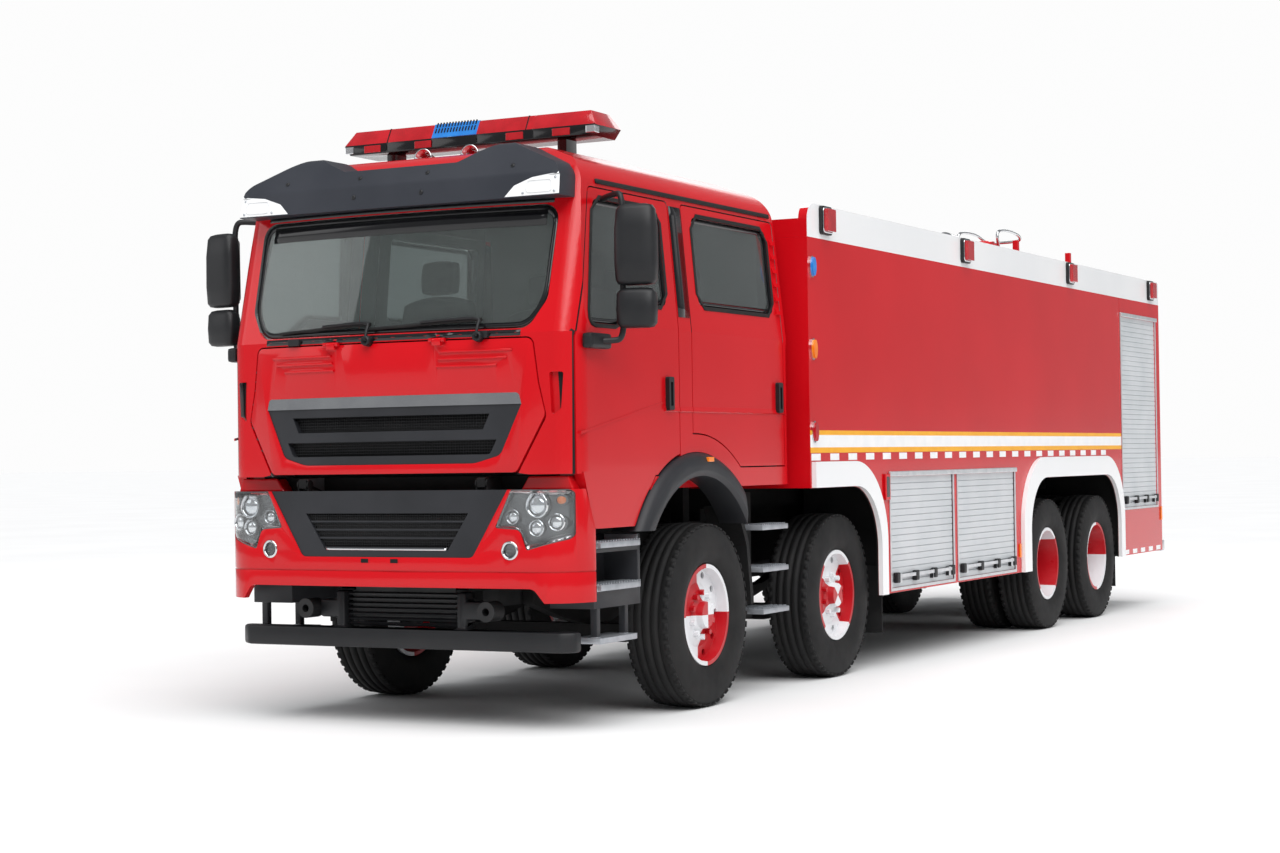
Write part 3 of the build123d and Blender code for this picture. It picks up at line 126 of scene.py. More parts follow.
def objectPoint(tree):
    return addNode(tree, "ShaderNodeTexCoord").outputs["Object"]


def noiseOf(tree, scale, detail=grain["detail"]):
    node = addNode(tree, "ShaderNodeTexNoise", [(objectPoint(tree), "Vector")], Scale=scale, Detail=detail)
    return node.outputs["Fac"]


def rampOf(tree, source, first, second, low=0.35, high=0.65):
    node = addNode(tree, "ShaderNodeValToRGB", [(source, "Fac")])
    stops = node.color_ramp.elements
    stops[0].position, stops[1].position = low, high
    stops[0].color, stops[1].color = (*first, 1), (*second, 1)
    return node.outputs["Color"]


def spanOf(tree, source, low, high):
    node = addNode(tree, "ShaderNodeMapRange", [(source, "Value")])
    setInputs(node, To_Min=low, To_Max=high)
    return node.outputs["Result"]


def bumpOf(tree, shader, height, strength):
    node = addNode(tree, "ShaderNodeBump", [(height, "Height")], Strength=strength, Distance=grain["bumpReach"])
    tree.links.new(node.outputs["Normal"], shader.inputs["Normal"])


def toned(name, colour, roughness):  # a finish whose colour and roughness come from sources made in its tree
    mat, tree, shader = newFinish(name)
    tree.links.new(colour(tree), shader.inputs["Base Color"])
    tree.links.new(roughness(tree), shader.inputs["Roughness"])
    return mat, tree, shader


def grained(name, dark, pale, scale, rough, bump=0.0, fine=0.0, metal=0.0, coat=0.0, glow=0.0, shine=0.5):
    mat, tree, shader = toned(name, lambda tree: rampOf(tree, noiseOf(tree, scale), dark, pale),
                              lambda tree: spanOf(tree, noiseOf(tree, scale * grain["roughScale"]), *rough))
    setInputs(shader, Specular_IOR_Level=shine, Metallic=metal, Coat_Weight=coat, Coat_Roughness=grain["coatRough"])
    if bump:
        bumpOf(tree, shader, noiseOf(tree, fine, grain["fineDetail"]), bump)
    if glow:
        setInputs(shader, Emission_Color=(*dark, 1), Emission_Strength=glow)
    return mat


def clear(name, dark, pale, rough, through):
    mat, _, shader = toned(name, lambda tree: rampOf(tree, noiseOf(tree, grain["clearScale"]), dark, pale),
                           lambda tree: spanOf(tree, noiseOf(tree, grain["clearRoughScale"]), rough,
                                               rough * grain["clearRoughSpan"]))
    setInputs(shader, Transmission_Weight=through, IOR=grain["clearIor"])
    return mat


# each row: two tones, grain scale, roughness span, then bump and its scale where there is one, then what else differs
opaque = {
    "redPaint": ((0.50, 0.003, 0.007), (0.55, 0.004, 0.009), 0.8, (0.16, 0.22), 0.02, 260,
                 {"coat": 0.2, "shine": 0.25}),
    "whitePaint": ((0.80, 0.81, 0.82), (0.84, 0.845, 0.85), 0.9, (0.2, 0.28), 0.02, 260, {"coat": 0.3}),
    "yellowTape": ((0.80, 0.36, 0.006), (0.86, 0.41, 0.01), 6, (0.3, 0.42), 0.05, 900, {"shine": 0.3}),
    "whiteTape": ((0.80, 0.81, 0.82), (0.86, 0.86, 0.86), 9, (0.25, 0.4), 0.08, 900, {}),
    "blackPlastic": ((0.007, 0.0075, 0.009), (0.012, 0.0125, 0.014), 3, (0.38, 0.5), 0.1, 700, {"shine": 0.35}),
    "greyPlastic": ((0.015, 0.016, 0.019), (0.021, 0.022, 0.026), 3, (0.4, 0.5), 0.08, 800, {"shine": 0.35}),
    "visorPlastic": ((0.018, 0.021, 0.029), (0.025, 0.028, 0.037), 2, (0.42, 0.52), 0.06, 800, {"shine": 0.4}),
    "glossBlack": ((0.004, 0.004, 0.005), (0.007, 0.007, 0.008), 2, (0.12, 0.2), {"coat": 0.2, "shine": 0.4}),
    "rubber": ((0.007, 0.007, 0.0075), (0.013, 0.0125, 0.0125), 5, (0.62, 0.8), 0.16, 320, {"shine": 0.3}),
    "undercoat": ((0.005, 0.005, 0.0055), (0.010, 0.0095, 0.0095), 4, (0.6, 0.78), 0.2, 160, {"shine": 0.25}),
    "castIron": ((0.012, 0.0125, 0.013), (0.024, 0.024, 0.025), 7, (0.45, 0.62), 0.2, 240, {"metal": 0.3}),
    "zincSteel": ((0.36, 0.38, 0.41), (0.46, 0.48, 0.51), 12, (0.35, 0.5), 0.08, 300, {"metal": 0.7}),
    "chrome": ((0.60, 0.61, 0.63), (0.70, 0.71, 0.72), 4, (0.05, 0.10), {"metal": 1.0}),
    "brushedAlloy": ((0.60, 0.62, 0.64), (0.70, 0.71, 0.73), 14, (0.28, 0.4), 0.06, 500, {"metal": 0.7}),
    "shutterAlloy": ((0.56, 0.59, 0.61), (0.63, 0.65, 0.67), 2.5, (0.34, 0.46), 0.04, 420, {"metal": 0.2}),
    "seatCloth": ((0.035, 0.036, 0.040), (0.055, 0.056, 0.060), 22, (0.75, 0.9), 0.3, 900, {}),
    "cabTrim": ((0.10, 0.105, 0.11), (0.13, 0.135, 0.14), 4, (0.6, 0.72), 0.12, 600, {}),
    "redLens": ((0.36, 0.003, 0.008), (0.46, 0.006, 0.013), 9, (0.06, 0.12), 0.12, 120, {"coat": 0.6, "glow": 0.06}),
    "blueLens": ((0.01, 0.15, 0.50), (0.02, 0.21, 0.62), 9, (0.08, 0.16), 0.12, 120, {"coat": 0.6, "glow": 0.10}),
    "amberLens": ((0.72, 0.16, 0.004), (0.84, 0.22, 0.01), 9, (0.08, 0.16), 0.1, 160, {"coat": 0.6, "glow": 0.12}),
    "mirrorGlass": ((0.55, 0.58, 0.60), (0.62, 0.64, 0.66), 3, (0.02, 0.05), {"metal": 1.0}),
    "reflector": ((0.74, 0.76, 0.78), (0.84, 0.85, 0.86), 8, (0.08, 0.16), 0.05, 200, {"metal": 0.9}),
    "lampHousing": ((0.10, 0.105, 0.11), (0.17, 0.175, 0.18), 8, (0.14, 0.24), 0.05, 200, {"metal": 0.7}),
}
seeThrough = {  # two tones, roughness, how much goes through
    "screenGlass": ((0.60, 0.68, 0.66), (0.66, 0.73, 0.71), 0.012, 0.95),
    "doorGlass": ((0.40, 0.45, 0.44), (0.46, 0.50, 0.49), 0.012, 0.9),
    "lampGlass": ((0.90, 0.92, 0.93), (0.96, 0.97, 0.97), 0.01, 0.97),
}
finishes = {name: grained(name, *row, **rest) for name, (*row, rest) in opaque.items()}
finishes.update({name: clear(name, *row) for name, row in seeThrough.items()})
finishesBySlot = {
    "red": ("redPaint",), "white": ("whitePaint", "yellowTape", "whiteTape"), "tyre": ("rubber",),
    "steel": ("castIron",), "alu": ("zincSteel", "chrome", "brushedAlloy", "shutterAlloy"),
    "trim": ("seatCloth", "cabTrim"),
    "lens_red": ("redLens",), "glass": ("screenGlass", "doorGlass"),
    "lens": ("blueLens", "amberLens", "mirrorGlass", "reflector", "lampHousing", "lampGlass"),
}
slotOf = {name: slot for slot, names in finishesBySlot.items() for name in names}  # the rest go in the black slot

wheelPaint = {"white": (0.74, 0.75, 0.77), "red": (0.46, 0.006, 0.012), "rough": (0.22, 0.4), "roughScale": 9,
              "bump": 0.06, "bumpScale": 210, "turn": {"1": 90, "2": -45, "3": -45, "4": 0}}


def quarters(tree, centreY, turn):  # red and white quarters about the axle, turned as the wheel stands
    about = addNode(tree, "ShaderNodeMapping", [(objectPoint(tree), "Vector")], vector_type="TEXTURE")
    setInputs(about, Location=(0, centreY, wheelRadius), Rotation=(math.radians(turn), 0, 0))
    split = addNode(tree, "ShaderNodeSeparateXYZ", [(about.outputs["Vector"], "Vector")])
    across = addNode(tree, "ShaderNodeMath", [(split.outputs["Y"], 0), (split.outputs["Z"], 1)], operation="MULTIPLY")
    quarter = addNode(tree, "ShaderNodeMath", [(across.outputs[0], 0)], operation="GREATER_THAN")
    quarter.inputs[1].default_value = 0
    return rampOf(tree, quarter.outputs[0], wheelPaint["white"], wheelPaint["red"])


for axle, y in axleY.items():
    name = f"wheelQuarters{axle}"
    finishes[name], tree, shader = toned(
        name, lambda tree: quarters(tree, y, wheelPaint["turn"][axle]),
        lambda tree: spanOf(tree, noiseOf(tree, wheelPaint["roughScale"]), *wheelPaint["rough"]))
    bumpOf(tree, shader, noiseOf(tree, wheelPaint["bumpScale"]), wheelPaint["bump"])
    slotOf[name] = "red"
print("finishes:", len(finishes))


# CAD nodes: one finish each, or several picked by where a face lies
def paint(mesh, names, pick=None):
    mesh.materials.clear()
    for name in names:
        mesh.materials.append(finishes[name])
    for face in mesh.polygons:
        face.material_index = names.index(pick(face.center, face.normal)) if pick else 0


def dress(node, *names, pick=None):
    paint(nodes[node].data, names, pick)


cabLook = {"reveal": 0.03, "lidGap": 0.02, "noseReach": 0.35, "inX": 0.05, "inY": (0.12, 0.03), "inZ": (1.34, 3.17),
           "heartY": 0.2, "heartZ": 2.25, "flatten": (0.6, 1.2), "sill": 1.31, "wellTop": 1.396, "wellHalf": 0.86,
           "steep": 0.5}
doorLook = {"handles": (-0.458, 1.05), "handleZ": 1.835, "handleHalf": (0.034, 0.097), "windowZ": (2.15, 2.92),
            "skin": 0.001, "lean": 0.3}
lampLook = {"base": 0.0221, "rim": 0.0105, "blueLow": 2.5, "amberLow": 1.9}
stepLook = {"treads": (0.47, 0.49, 0.75, 0.755, 0.985, 1.01), "below": 0.001, "above": 0.033, "innerX": 0.93}
shutterLook = {"frame": 0.004, "bar": 0.0205, "flat": 0.99}
visorLook = {"blankX": 0.80, "blankZ": (2.884, 3.0), "lean": 0.4}
bodyLook = {"skirtTop": 1.30, "skirtSkin": 0.002, "steep": 0.5, "rearward": 0.9}
plainLook = {"barBase": 0.15, "grilleBand": 1.768, "grilleLean": 0.3, "nozzle": 0.28, "parapetLean": 0.7}


def cabFace(centre, normal):
    x, z = abs(centre.x), centre.z
    nearNose = centre.y < noseY + cabLook["noseReach"]
    behind = centre.y - noseY - noseBow * (centre.x / cabX) ** 2
    steep = cabLook["steep"]
    if behind > cabLook["reveal"] and normal.y < -steep and z < lidTop + cabLook["lidGap"] and nearNose:
        return "undercoat"
    (frontIn, rearIn), (low, high), (scaleY, scaleZ) = cabLook["inY"], cabLook["inZ"], cabLook["flatten"]
    outward = Vector((centre.x, scaleY * (centre.y - cabY + cabLook["heartY"]), scaleZ * (z - cabLook["heartZ"])))
    inside = x < cabX - cabLook["inX"] and cabLow.y + frontIn < centre.y < cabHigh.y - rearIn and low < z < high
    if inside and outward.dot(normal) < 0:
        return "cabTrim"
    inWell = z < cabLook["wellTop"] and x < cabLook["wellHalf"] and nearNose
    if inWell or z < cabLook["sill"] and normal.z < -steep:
        return "undercoat"
    return "redPaint"


def doorFace(centre, normal):
    side = 1 if centre.x > 0 else -1
    halfY, halfZ = doorLook["handleHalf"]
    onSkin = abs(centre.z - doorLook["handleZ"]) < halfZ and abs(centre.x) > cabX - doorLook["skin"]
    if onSkin and any(abs(centre.y - cabY - y) < halfY for y in doorLook["handles"]):
        return "blackPlastic"
    if normal.x * side < -doorLook["lean"]:
        return "cabTrim"
    low, high = doorLook["windowZ"]
    return "blackPlastic" if abs(normal.x) < doorLook["lean"] and low < centre.z < high else "redPaint"


def bodyFace(centre, normal):
    hidden = abs(centre.x) < bodyX - bodyLook["skirtSkin"] or normal.z < -bodyLook["steep"]
    low = centre.z < bodyLook["skirtTop"] and normal.y < bodyLook["rearward"]
    return "undercoat" if low and hidden else "redPaint"


def shutterFace(centre, normal):
    if abs(centre.x) <= bodyX - shutterLook["frame"]:
        return "shutterAlloy"
    onBar = abs(centre.x) < bodyX + shutterLook["bar"] and abs(normal.x) < shutterLook["flat"]
    return "blackPlastic" if onBar else "brushedAlloy"


def lampFace(centre, normal):
    if centre.z > deckZ:
        return "blackPlastic" if abs(centre.x) < bodyX + lampLook["base"] else "redLens"
    if centre.y > bodyHigh.y:
        return "redLens"
    if abs(centre.x) < bodyX + lampLook["rim"]:
        return "chrome"
    if centre.z > lampLook["blueLow"]:
        return "blueLens"
    return "amberLens" if centre.z > lampLook["amberLow"] else "redLens"


def stepFace(centre, normal):
    onTread = any(z - stepLook["below"] <= centre.z <= z + stepLook["above"] for z in stepLook["treads"])
    if onTread and abs(centre.x) > stepLook["innerX"]:
        return "zincSteel"
    return "greyPlastic" if centre.y < axleY["1"] else "undercoat"


def barFace(centre, normal):
    return "glossBlack" if centre.z < lightBarLow + plainLook["barBase"] else "redLens"


def visorFace(centre, normal):
    low, high = visorLook["blankZ"]
    blank = abs(centre.x) > visorLook["blankX"] and low < centre.z < high
    return "whitePaint" if blank and normal.y < -visorLook["lean"] else "visorPlastic"


def grilleFace(centre, normal):
    onBand = centre.z > plainLook["grilleBand"] and normal.y < -plainLook["grilleLean"]
    return "chrome" if onBand else "greyPlastic"


def monitorFace(centre, normal):
    return "redPaint" if centre.y > nozzleY + plainLook["nozzle"] else "chrome"


def parapetFace(centre, normal):
    return "redPaint" if normal.y < -plainLook["parapetLean"] else "whitePaint"


dress("cab_shell", "redPaint", "cabTrim", "undercoat", pick=cabFace)
for name, _, _ in sides:
    for end, _ in ends:
        dress(f"door_{end}_{name}", "redPaint", "cabTrim", "blackPlastic", pick=doorFace)
        dress(f"glass_{end}_{name}", "doorGlass")
    dress(f"mirror_{name}", "blackPlastic")
    for axle in "1234":
        dress(f"wheel_{axle}_{name}", f"wheelQuarters{axle}")
    for axle in "12":
        dress(f"tyre_{axle}_{name}", "rubber")
        dress(f"knuckle_{axle}_{name}", "castIron")
    for axle in "34":
        dress(f"tyres_{axle}_{name}", "rubber")
dress("tank_body", "redPaint", "undercoat", pick=bodyFace)
dress("shutters", "shutterAlloy", "brushedAlloy", "blackPlastic", pick=shutterFace)
dress("body_lamps", "redLens", "blackPlastic", "chrome", "blueLens", "amberLens", pick=lampFace)
dress("steps", "undercoat", "zincSteel", "greyPlastic", pick=stepFace)
dress("light_bar", "redLens", "glossBlack", pick=barFace)
dress("visor", "visorPlastic", "whitePaint", pick=visorFace)
dress("upper_grille", "greyPlastic", "chrome", pick=grilleFace)
dress("monitor_barrel", "redPaint", "chrome", pick=monitorFace)
dress("parapet", "whitePaint", "redPaint", pick=parapetFace)
for node, name in (
    ("front_lid", "redPaint"), ("front_bumper", "redPaint"), ("monitor_swivel", "redPaint"),
    ("arch_trims", "whitePaint"), ("lower_panel", "greyPlastic"), ("fenders", "greyPlastic"),
    ("mud_flaps", "rubber"), ("underrun_bar", "blackPlastic"), ("tow_sockets", "castIron"),
    ("front_lamps", "lampHousing"), ("windscreen", "screenGlass"), ("dashboard", "cabTrim"),
    ("seats", "seatCloth"), ("rear_bumper", "brushedAlloy"), ("roof_ladder", "brushedAlloy"),
    ("frame", "undercoat"), ("powertrain", "castIron"), ("springs", "undercoat"),
    ("front_axles", "undercoat"), ("rear_axles", "undercoat"),
):
    dress(node, name)
print("CAD nodes dressed")


# makers: small helpers that turn points into pieces in the shared frame
maker = {"weld": 1e-5, "bevelProfile": 0.6, "blockRounds": 2, "rodRounds": 3, "rodSteps": 6, "rodOrder": 3,
         "loopSteps": 6, "loopShare": 2.2, "loopPitch": 0.06, "loftSharp": 50}
easing = {"weld": 2e-5, "flat": 0.8, "angle": 30, "sharp": 34, "segments": 2}
castFrom = {"front": -8, "side": 2, "above": 6}
boxFaces = ((0, 1, 3, 2), (4, 6, 7, 5), (0, 4, 5, 1), (2, 3, 7, 6), (0, 2, 6, 4), (1, 5, 7, 3))


def evenly(low, high, count):
    return [low + (high - low) * n / count for n in range(count + 1)]


def link(item):
    bpy.context.scene.collection.objects.link(item)


def settled(holder):  # an object's mesh after its modifiers; the object itself goes
    link(holder)
    mesh = bpy.data.meshes.new_from_object(holder.evaluated_get(bpy.context.evaluated_depsgraph_get()))
    bpy.data.objects.remove(holder)
    return mesh


def shade(mesh, smooth):
    for face in mesh.polygons:
        face.use_smooth = smooth


def place(name, mesh, finish, body):
    paint(mesh, (finish,))
    piece = bpy.data.objects.new(name, mesh)
    link(piece)
    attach(piece, body)
    return piece


def closeUp(name, bm, finish, body, smooth=False):
    bmesh.ops.remove_doubles(bm, verts=bm.verts, dist=maker["weld"])
    bmesh.ops.recalc_face_normals(bm, faces=bm.faces)
    mesh = bpy.data.meshes.new(name)
    bm.to_mesh(mesh)
    bm.free()
    shade(mesh, smooth)
    return place(name, mesh, finish, body)


def bevelEdges(bm, edges, width, segments):
    bmesh.ops.bevel(bm, geom=edges, offset=width, segments=segments, affect="EDGES", profile=maker["bevelProfile"])


def blockInto(bm, low, high, bevel=0.0):
    corners = [bm.verts.new(spot) for spot in product(*zip(low, high))]
    faces = [bm.faces.new([corners[i] for i in ring]) for ring in boxFaces]
    if bevel:
        edges = dict.fromkeys(edge for face in faces for edge in face.edges)
        bevelEdges(bm, list(edges), bevel, maker["blockRounds"])


def blocks(name, rows, finish, body, bevel):
    bm = bmesh.new()
    for pair in rows:
        blockInto(bm, [min(both) for both in zip(*pair)], [max(both) for both in zip(*pair)], bevel)
    return closeUp(name, bm, finish, body)


def blockAt(name, spot, low, high, finish, body, bevel):
    return blocks(name, [(spot + Vector(low), spot + Vector(high))], finish, body, bevel)


def latheInto(bm, profile, centre, axis, segments):  # profile rows are (along the axis, radius)
    axis = Vector(axis).normalized()
    across = axis.orthogonal().normalized()
    other = axis.cross(across)
    rings = []
    for step in range(segments):
        angle = 2 * math.pi * step / segments
        spoke = across * math.cos(angle) + other * math.sin(angle)
        rings.append([bm.verts.new(Vector(centre) + axis * along + spoke * radius) for along, radius in profile])
    for step in range(segments):
        near, far = rings[step], rings[(step + 1) % segments]
        for i in range(len(profile) - 1):
            bm.faces.new((near[i], near[i + 1], far[i + 1], far[i]))


def lathe(name, profile, centre, axis, finish, body, segments):
    bm = bmesh.new()
    latheInto(bm, profile, centre, axis, segments)
    return closeUp(name, bm, finish, body, smooth=True)


def scaled(profile, radius):  # a lathe profile given in shares of one radius
    return [(along, share * radius) for along, share in profile]


def rod(name, points, radius, finish, body):  # one smooth curve with a round section
    curve = bpy.data.curves.new(name, "CURVE")
    curve.dimensions = "3D"
    curve.bevel_depth = radius
    curve.bevel_resolution = maker["rodRounds"]
    curve.resolution_u = maker["rodSteps"]
    curve.use_fill_caps = True
    spline = curve.splines.new("NURBS")
    spline.points.add(len(points) - 1)
    for point, spot in zip(spline.points, points):
        point.co = (*spot, 1)
    spline.order_u = maker["rodOrder"]
    spline.use_endpoint_u = True
    mesh = settled(bpy.data.objects.new(name + ".path", curve))
    shade(mesh, True)
    return place(name, mesh, finish, body)


skins = {}


def onto(node, start, direction):  # spot and normal where a ray first meets a CAD node, or two empty values
    if node not in skins:
        mesh = nodes[node].data
        skins[node] = BVHTree.FromPolygons([v.co for v in mesh.vertices], [f.vertices[:] for f in mesh.polygons])
    return skins[node].ray_cast(Vector(start), Vector(direction))[:2]


def fromFront(node, x, z):
    return onto(node, (x, castFrom["front"], z), (0, 1, 0))


def fromSide(node, side, y, z):
    return onto(node, (side * castFrom["side"], y, z), (-side, 0, 0))


def fromAbove(node, x, y):
    return onto(node, (x, y, castFrom["above"]), (0, 0, -1))[0]


def sheetOf(name, rows, lift, thick, finish, body, closed=False):  # rows of (spot, normal)
    rows = [row for row in rows if all(spot is not None for spot, _ in row)]  # a row that misses its node is left out
    bm = bmesh.new()
    top, under = [], []
    for row in rows:
        top.append([bm.verts.new(spot + normal * lift) for spot, normal in row])
        under.append([bm.verts.new(spot + normal * (lift - thick)) for spot, normal in row])
    count = len(top)
    for i in range(count if closed else count - 1):
        j = (i + 1) % count
        for k in range(len(top[i]) - 1):
            bm.faces.new((top[i][k], top[i][k + 1], top[j][k + 1], top[j][k]))
            bm.faces.new((under[i][k], under[j][k], under[j][k + 1], under[i][k + 1]))
        for k in (0, -1):
            bm.faces.new((top[i][k], top[j][k], under[j][k], under[i][k]))
    if not closed:
        for i in (0, -1):
            for k in range(len(top[i]) - 1):
                bm.faces.new((top[i][k], under[i][k], under[i][k + 1], top[i][k + 1]))
    return closeUp(name, bm, finish, body, smooth=True)


def roundedLoop(points, radius):  # closed 2-D loop with each corner eased and long runs divided
    loop = []
    count = len(points)
    for i in range(count):
        before, corner, after = (Vector(points[(i + k) % count]) for k in (-1, 0, 1))
        reach = min(radius, *((other - corner).length / maker["loopShare"] for other in (before, after)))
        first, last = (corner + (other - corner).normalized() * reach for other in (before, after))
        for t in evenly(0, 1, maker["loopSteps"]):
            loop.append(first * (1 - t) ** 2 + corner * 2 * t * (1 - t) + last * t ** 2)
    dense = []
    for point, following in zip(loop, loop[1:] + loop[:1]):
        parts = max(1, int((following - point).length / maker["loopPitch"]))
        dense += [point.lerp(following, k / parts) for k in range(parts)]
    return dense


def boxLoop(x0, x1, z0, z1, radius):
    return roundedLoop([(x0, z0), (x1, z0), (x1, z1), (x0, z1)], radius)


def offsetLoop(loop, amount):  # positive grows a counter-clockwise loop
    count = len(loop)
    moved = []
    for i, point in enumerate(loop):
        run = (loop[(i + 1) % count] - loop[i - 1]).normalized()
        moved.append(point + Vector((run.y, -run.x)) * amount)
    return moved


def band(loop, inner, outer):  # pairs of points across a band that follows a loop
    return list(zip(offsetLoop(loop, inner), offsetLoop(loop, outer)))


def softened(node, width, *names, pick=None):  # a copy of a CAD node with its hard edges eased, standing for it
    bm = bmesh.new()
    solid = nodes[node].data
    corners = [bm.verts.new(v.co) for v in solid.vertices]
    for face in solid.polygons:
        bm.faces.new([corners[i] for i in face.vertices])
    bmesh.ops.remove_doubles(bm, verts=bm.verts, dist=easing["weld"])
    bmesh.ops.dissolve_limit(bm, angle_limit=math.radians(easing["flat"]), verts=bm.verts, edges=bm.edges)
    mesh = bpy.data.meshes.new(node)
    bm.to_mesh(mesh)
    bm.free()
    holder = bpy.data.objects.new(node + ".soft", mesh)
    ease = holder.modifiers.new("ease", "BEVEL")
    ease.width = width
    ease.segments = easing["segments"]
    ease.limit_method = "ANGLE"
    ease.angle_limit = math.radians(easing["angle"])
    eased = settled(holder)
    shade(eased, True)
    eased.set_sharp_from_angle(angle=math.radians(easing["sharp"]))
    piece = place(node.title().replace("_", "") + "Eased", eased, names[0], body_of(nodes[node])[0])
    paint(eased, names, pick)
    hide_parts(node)


def prismInto(bm, near, far):  # two matching loops of points, closed at both ends
    loops = [[bm.verts.new(spot) for spot in loop] for loop in (near, far)]
    for loop in loops:
        bm.faces.new(loop)
    for i in range(len(near)):
        j = (i + 1) % len(near)
        bm.faces.new((loops[0][i], loops[0][j], loops[1][j], loops[1][i]))


def prism(name, near, far, finish, body):
    bm = bmesh.new()
    prismInto(bm, near, far)
    return closeUp(name, bm, finish, body)


def loft(name, rings, finish, body):  # closed skin through rings of points
    bm = bmesh.new()
    rows = [[bm.verts.new(spot) for spot in ring] for ring in rings]
    for near, far in zip(rows, rows[1:]):
        for i in range(len(near)):
            j = (i + 1) % len(near)
            bm.faces.new((near[i], near[j], far[j], far[i]))
    bm.faces.new(rows[0])
    bm.faces.new(rows[-1])
    piece = closeUp(name, bm, finish, body, smooth=True)
    piece.data.set_sharp_from_angle(angle=math.radians(maker["loftSharp"]))
    return piece


def studs(name, node, spots, profile, segments, finish, body):  # turned heads on a node's front
    bm = bmesh.new()
    for x, z in spots:
        latheInto(bm, profile, *fromFront(node, x, z), segments)
    return closeUp(name, bm, finish, body, smooth=True)


# geometry node trees: rows of blocks, rings of nuts or lugs, wire mesh
def newTree(name, sockets):
    tree = bpy.data.node_groups.new(name, "GeometryNodeTree")
    for label, kind in sockets.items():
        tree.interface.new_socket(label, in_out="INPUT", socket_type=f"NodeSocket{kind}")
    tree.interface.new_socket("Geometry", in_out="OUTPUT", socket_type="NodeSocketGeometry")
    return tree, tree.nodes.new("NodeGroupInput").outputs


def finishTree(tree, geometry):
    whole = addNode(tree, "GeometryNodeRealizeInstances", [(geometry, "Geometry")])
    addNode(tree, "NodeGroupOutput", [(whole.outputs["Geometry"], "Geometry")])
    return tree


def onPoints(tree, points, instance, *more):
    links = [(points.outputs[0], "Points"), (instance.outputs["Mesh"], "Instance"), *more]
    return addNode(tree, "GeometryNodeInstanceOnPoints", links).outputs["Instances"]


def blockRowTree():
    tree, given = newTree("blockRows", {
        "Count": "Int", "Start": "Vector", "Step": "Vector", "Rows": "Int", "Row Step": "Vector", "Size": "Vector",
        "Turn": "Rotation"})
    line = addNode(tree, "GeometryNodeMeshLine", [
        (given["Count"], "Count"), (given["Start"], "Start Location"), (given["Step"], "Offset")])
    rows = addNode(tree, "GeometryNodeMeshLine", [(given["Rows"], "Count"), (given["Row Step"], "Offset")])
    spots = addNode(tree, "GeometryNodeRealizeInstances", [(onPoints(tree, rows, line), "Geometry")])
    block = addNode(tree, "GeometryNodeMeshCube", [(given["Size"], "Size")])
    return finishTree(tree, onPoints(tree, spots, block, (given["Turn"], "Rotation")))


def ringTree(name, kind, shape, facing):  # copies of one shape round a circle; facing ones turn with it
    tree, given = newTree(name, {
        "Count": "Int", "Ring Radius": "Float", "Centre": "Vector", "Turn": "Rotation",
        **{label: socketKind for label, socketKind, _ in shape}})
    ring = addNode(tree, "GeometryNodeMeshCircle", [(given["Count"], "Vertices"), (given["Ring Radius"], "Radius")])
    item = addNode(tree, kind, [(given[label], socket) for label, _, socket in shape])
    turned = []
    if facing:
        spot = addNode(tree, "GeometryNodeInputPosition")
        outward = addNode(tree, "FunctionNodeAlignRotationToVector", [(spot.outputs["Position"], "Vector")], axis="X")
        turned = [(outward.outputs["Rotation"], "Rotation")]
    moved = addNode(tree, "GeometryNodeTransform", [
        (onPoints(tree, ring, item, *turned), "Geometry"), (given["Centre"], "Translation"),
        (given["Turn"], "Rotation")])
    return finishTree(tree, moved.outputs["Geometry"])


def wireMeshTree():  # flat wire mesh in X and Z, bowed back towards its ends
    tree, given = newTree("wireMesh", {
        "Width": "Float", "Height": "Float", "Columns": "Int", "Rows": "Int", "Wire": "Float", "Bow": "Float",
        "Centre": "Vector"})
    grid = addNode(tree, "GeometryNodeMeshGrid", [
        (given["Width"], "Size X"), (given["Height"], "Size Y"), (given["Columns"], "Vertices X"),
        (given["Rows"], "Vertices Y")])
    upright = addNode(tree, "GeometryNodeTransform", [
        (grid.outputs["Mesh"], "Geometry"), (given["Centre"], "Translation")], Rotation=Euler((math.pi / 2, 0, 0)))
    spot = addNode(tree, "GeometryNodeInputPosition")
    x = addNode(tree, "ShaderNodeSeparateXYZ", [(spot.outputs["Position"], "Vector")]).outputs["X"]
    square = addNode(tree, "ShaderNodeMath", [(x, 0), (x, 1)], operation="MULTIPLY")
    back = addNode(tree, "ShaderNodeMath", [(square.outputs[0], 0), (given["Bow"], 1)], operation="MULTIPLY")
    shift = addNode(tree, "ShaderNodeCombineXYZ", [(back.outputs[0], "Y")])
    bowed = addNode(tree, "GeometryNodeSetPosition", [
        (upright.outputs["Geometry"], "Geometry"), (shift.outputs["Vector"], "Offset")])
    wires = addNode(tree, "GeometryNodeMeshToCurve", [(bowed.outputs["Geometry"], "Mesh")])
    section = addNode(tree, "GeometryNodeCurvePrimitiveCircle", [(given["Wire"], "Radius")], Resolution=4)
    swept = addNode(tree, "GeometryNodeCurveToMesh", [
        (wires.outputs["Curve"], "Curve"), (section.outputs["Curve"], "Profile Curve")])
    return finishTree(tree, swept.outputs["Mesh"])


def grownMesh(name, tree, settings):  # run a tree and keep its result as a plain mesh
    holder = bpy.data.objects.new(name + ".tree", bpy.data.meshes.new(name + ".tree"))
    modifier = holder.modifiers.new("rows", "NODES")
    modifier.node_group = tree
    for item in tree.interface.items_tree:
        if item.in_out == "INPUT" and item.name in settings:
            modifier[item.identifier] = settings[item.name]
    return settled(holder)


def grow(name, tree, finish, body, settings):
    return place(name, grownMesh(name, tree, settings), finish, body)


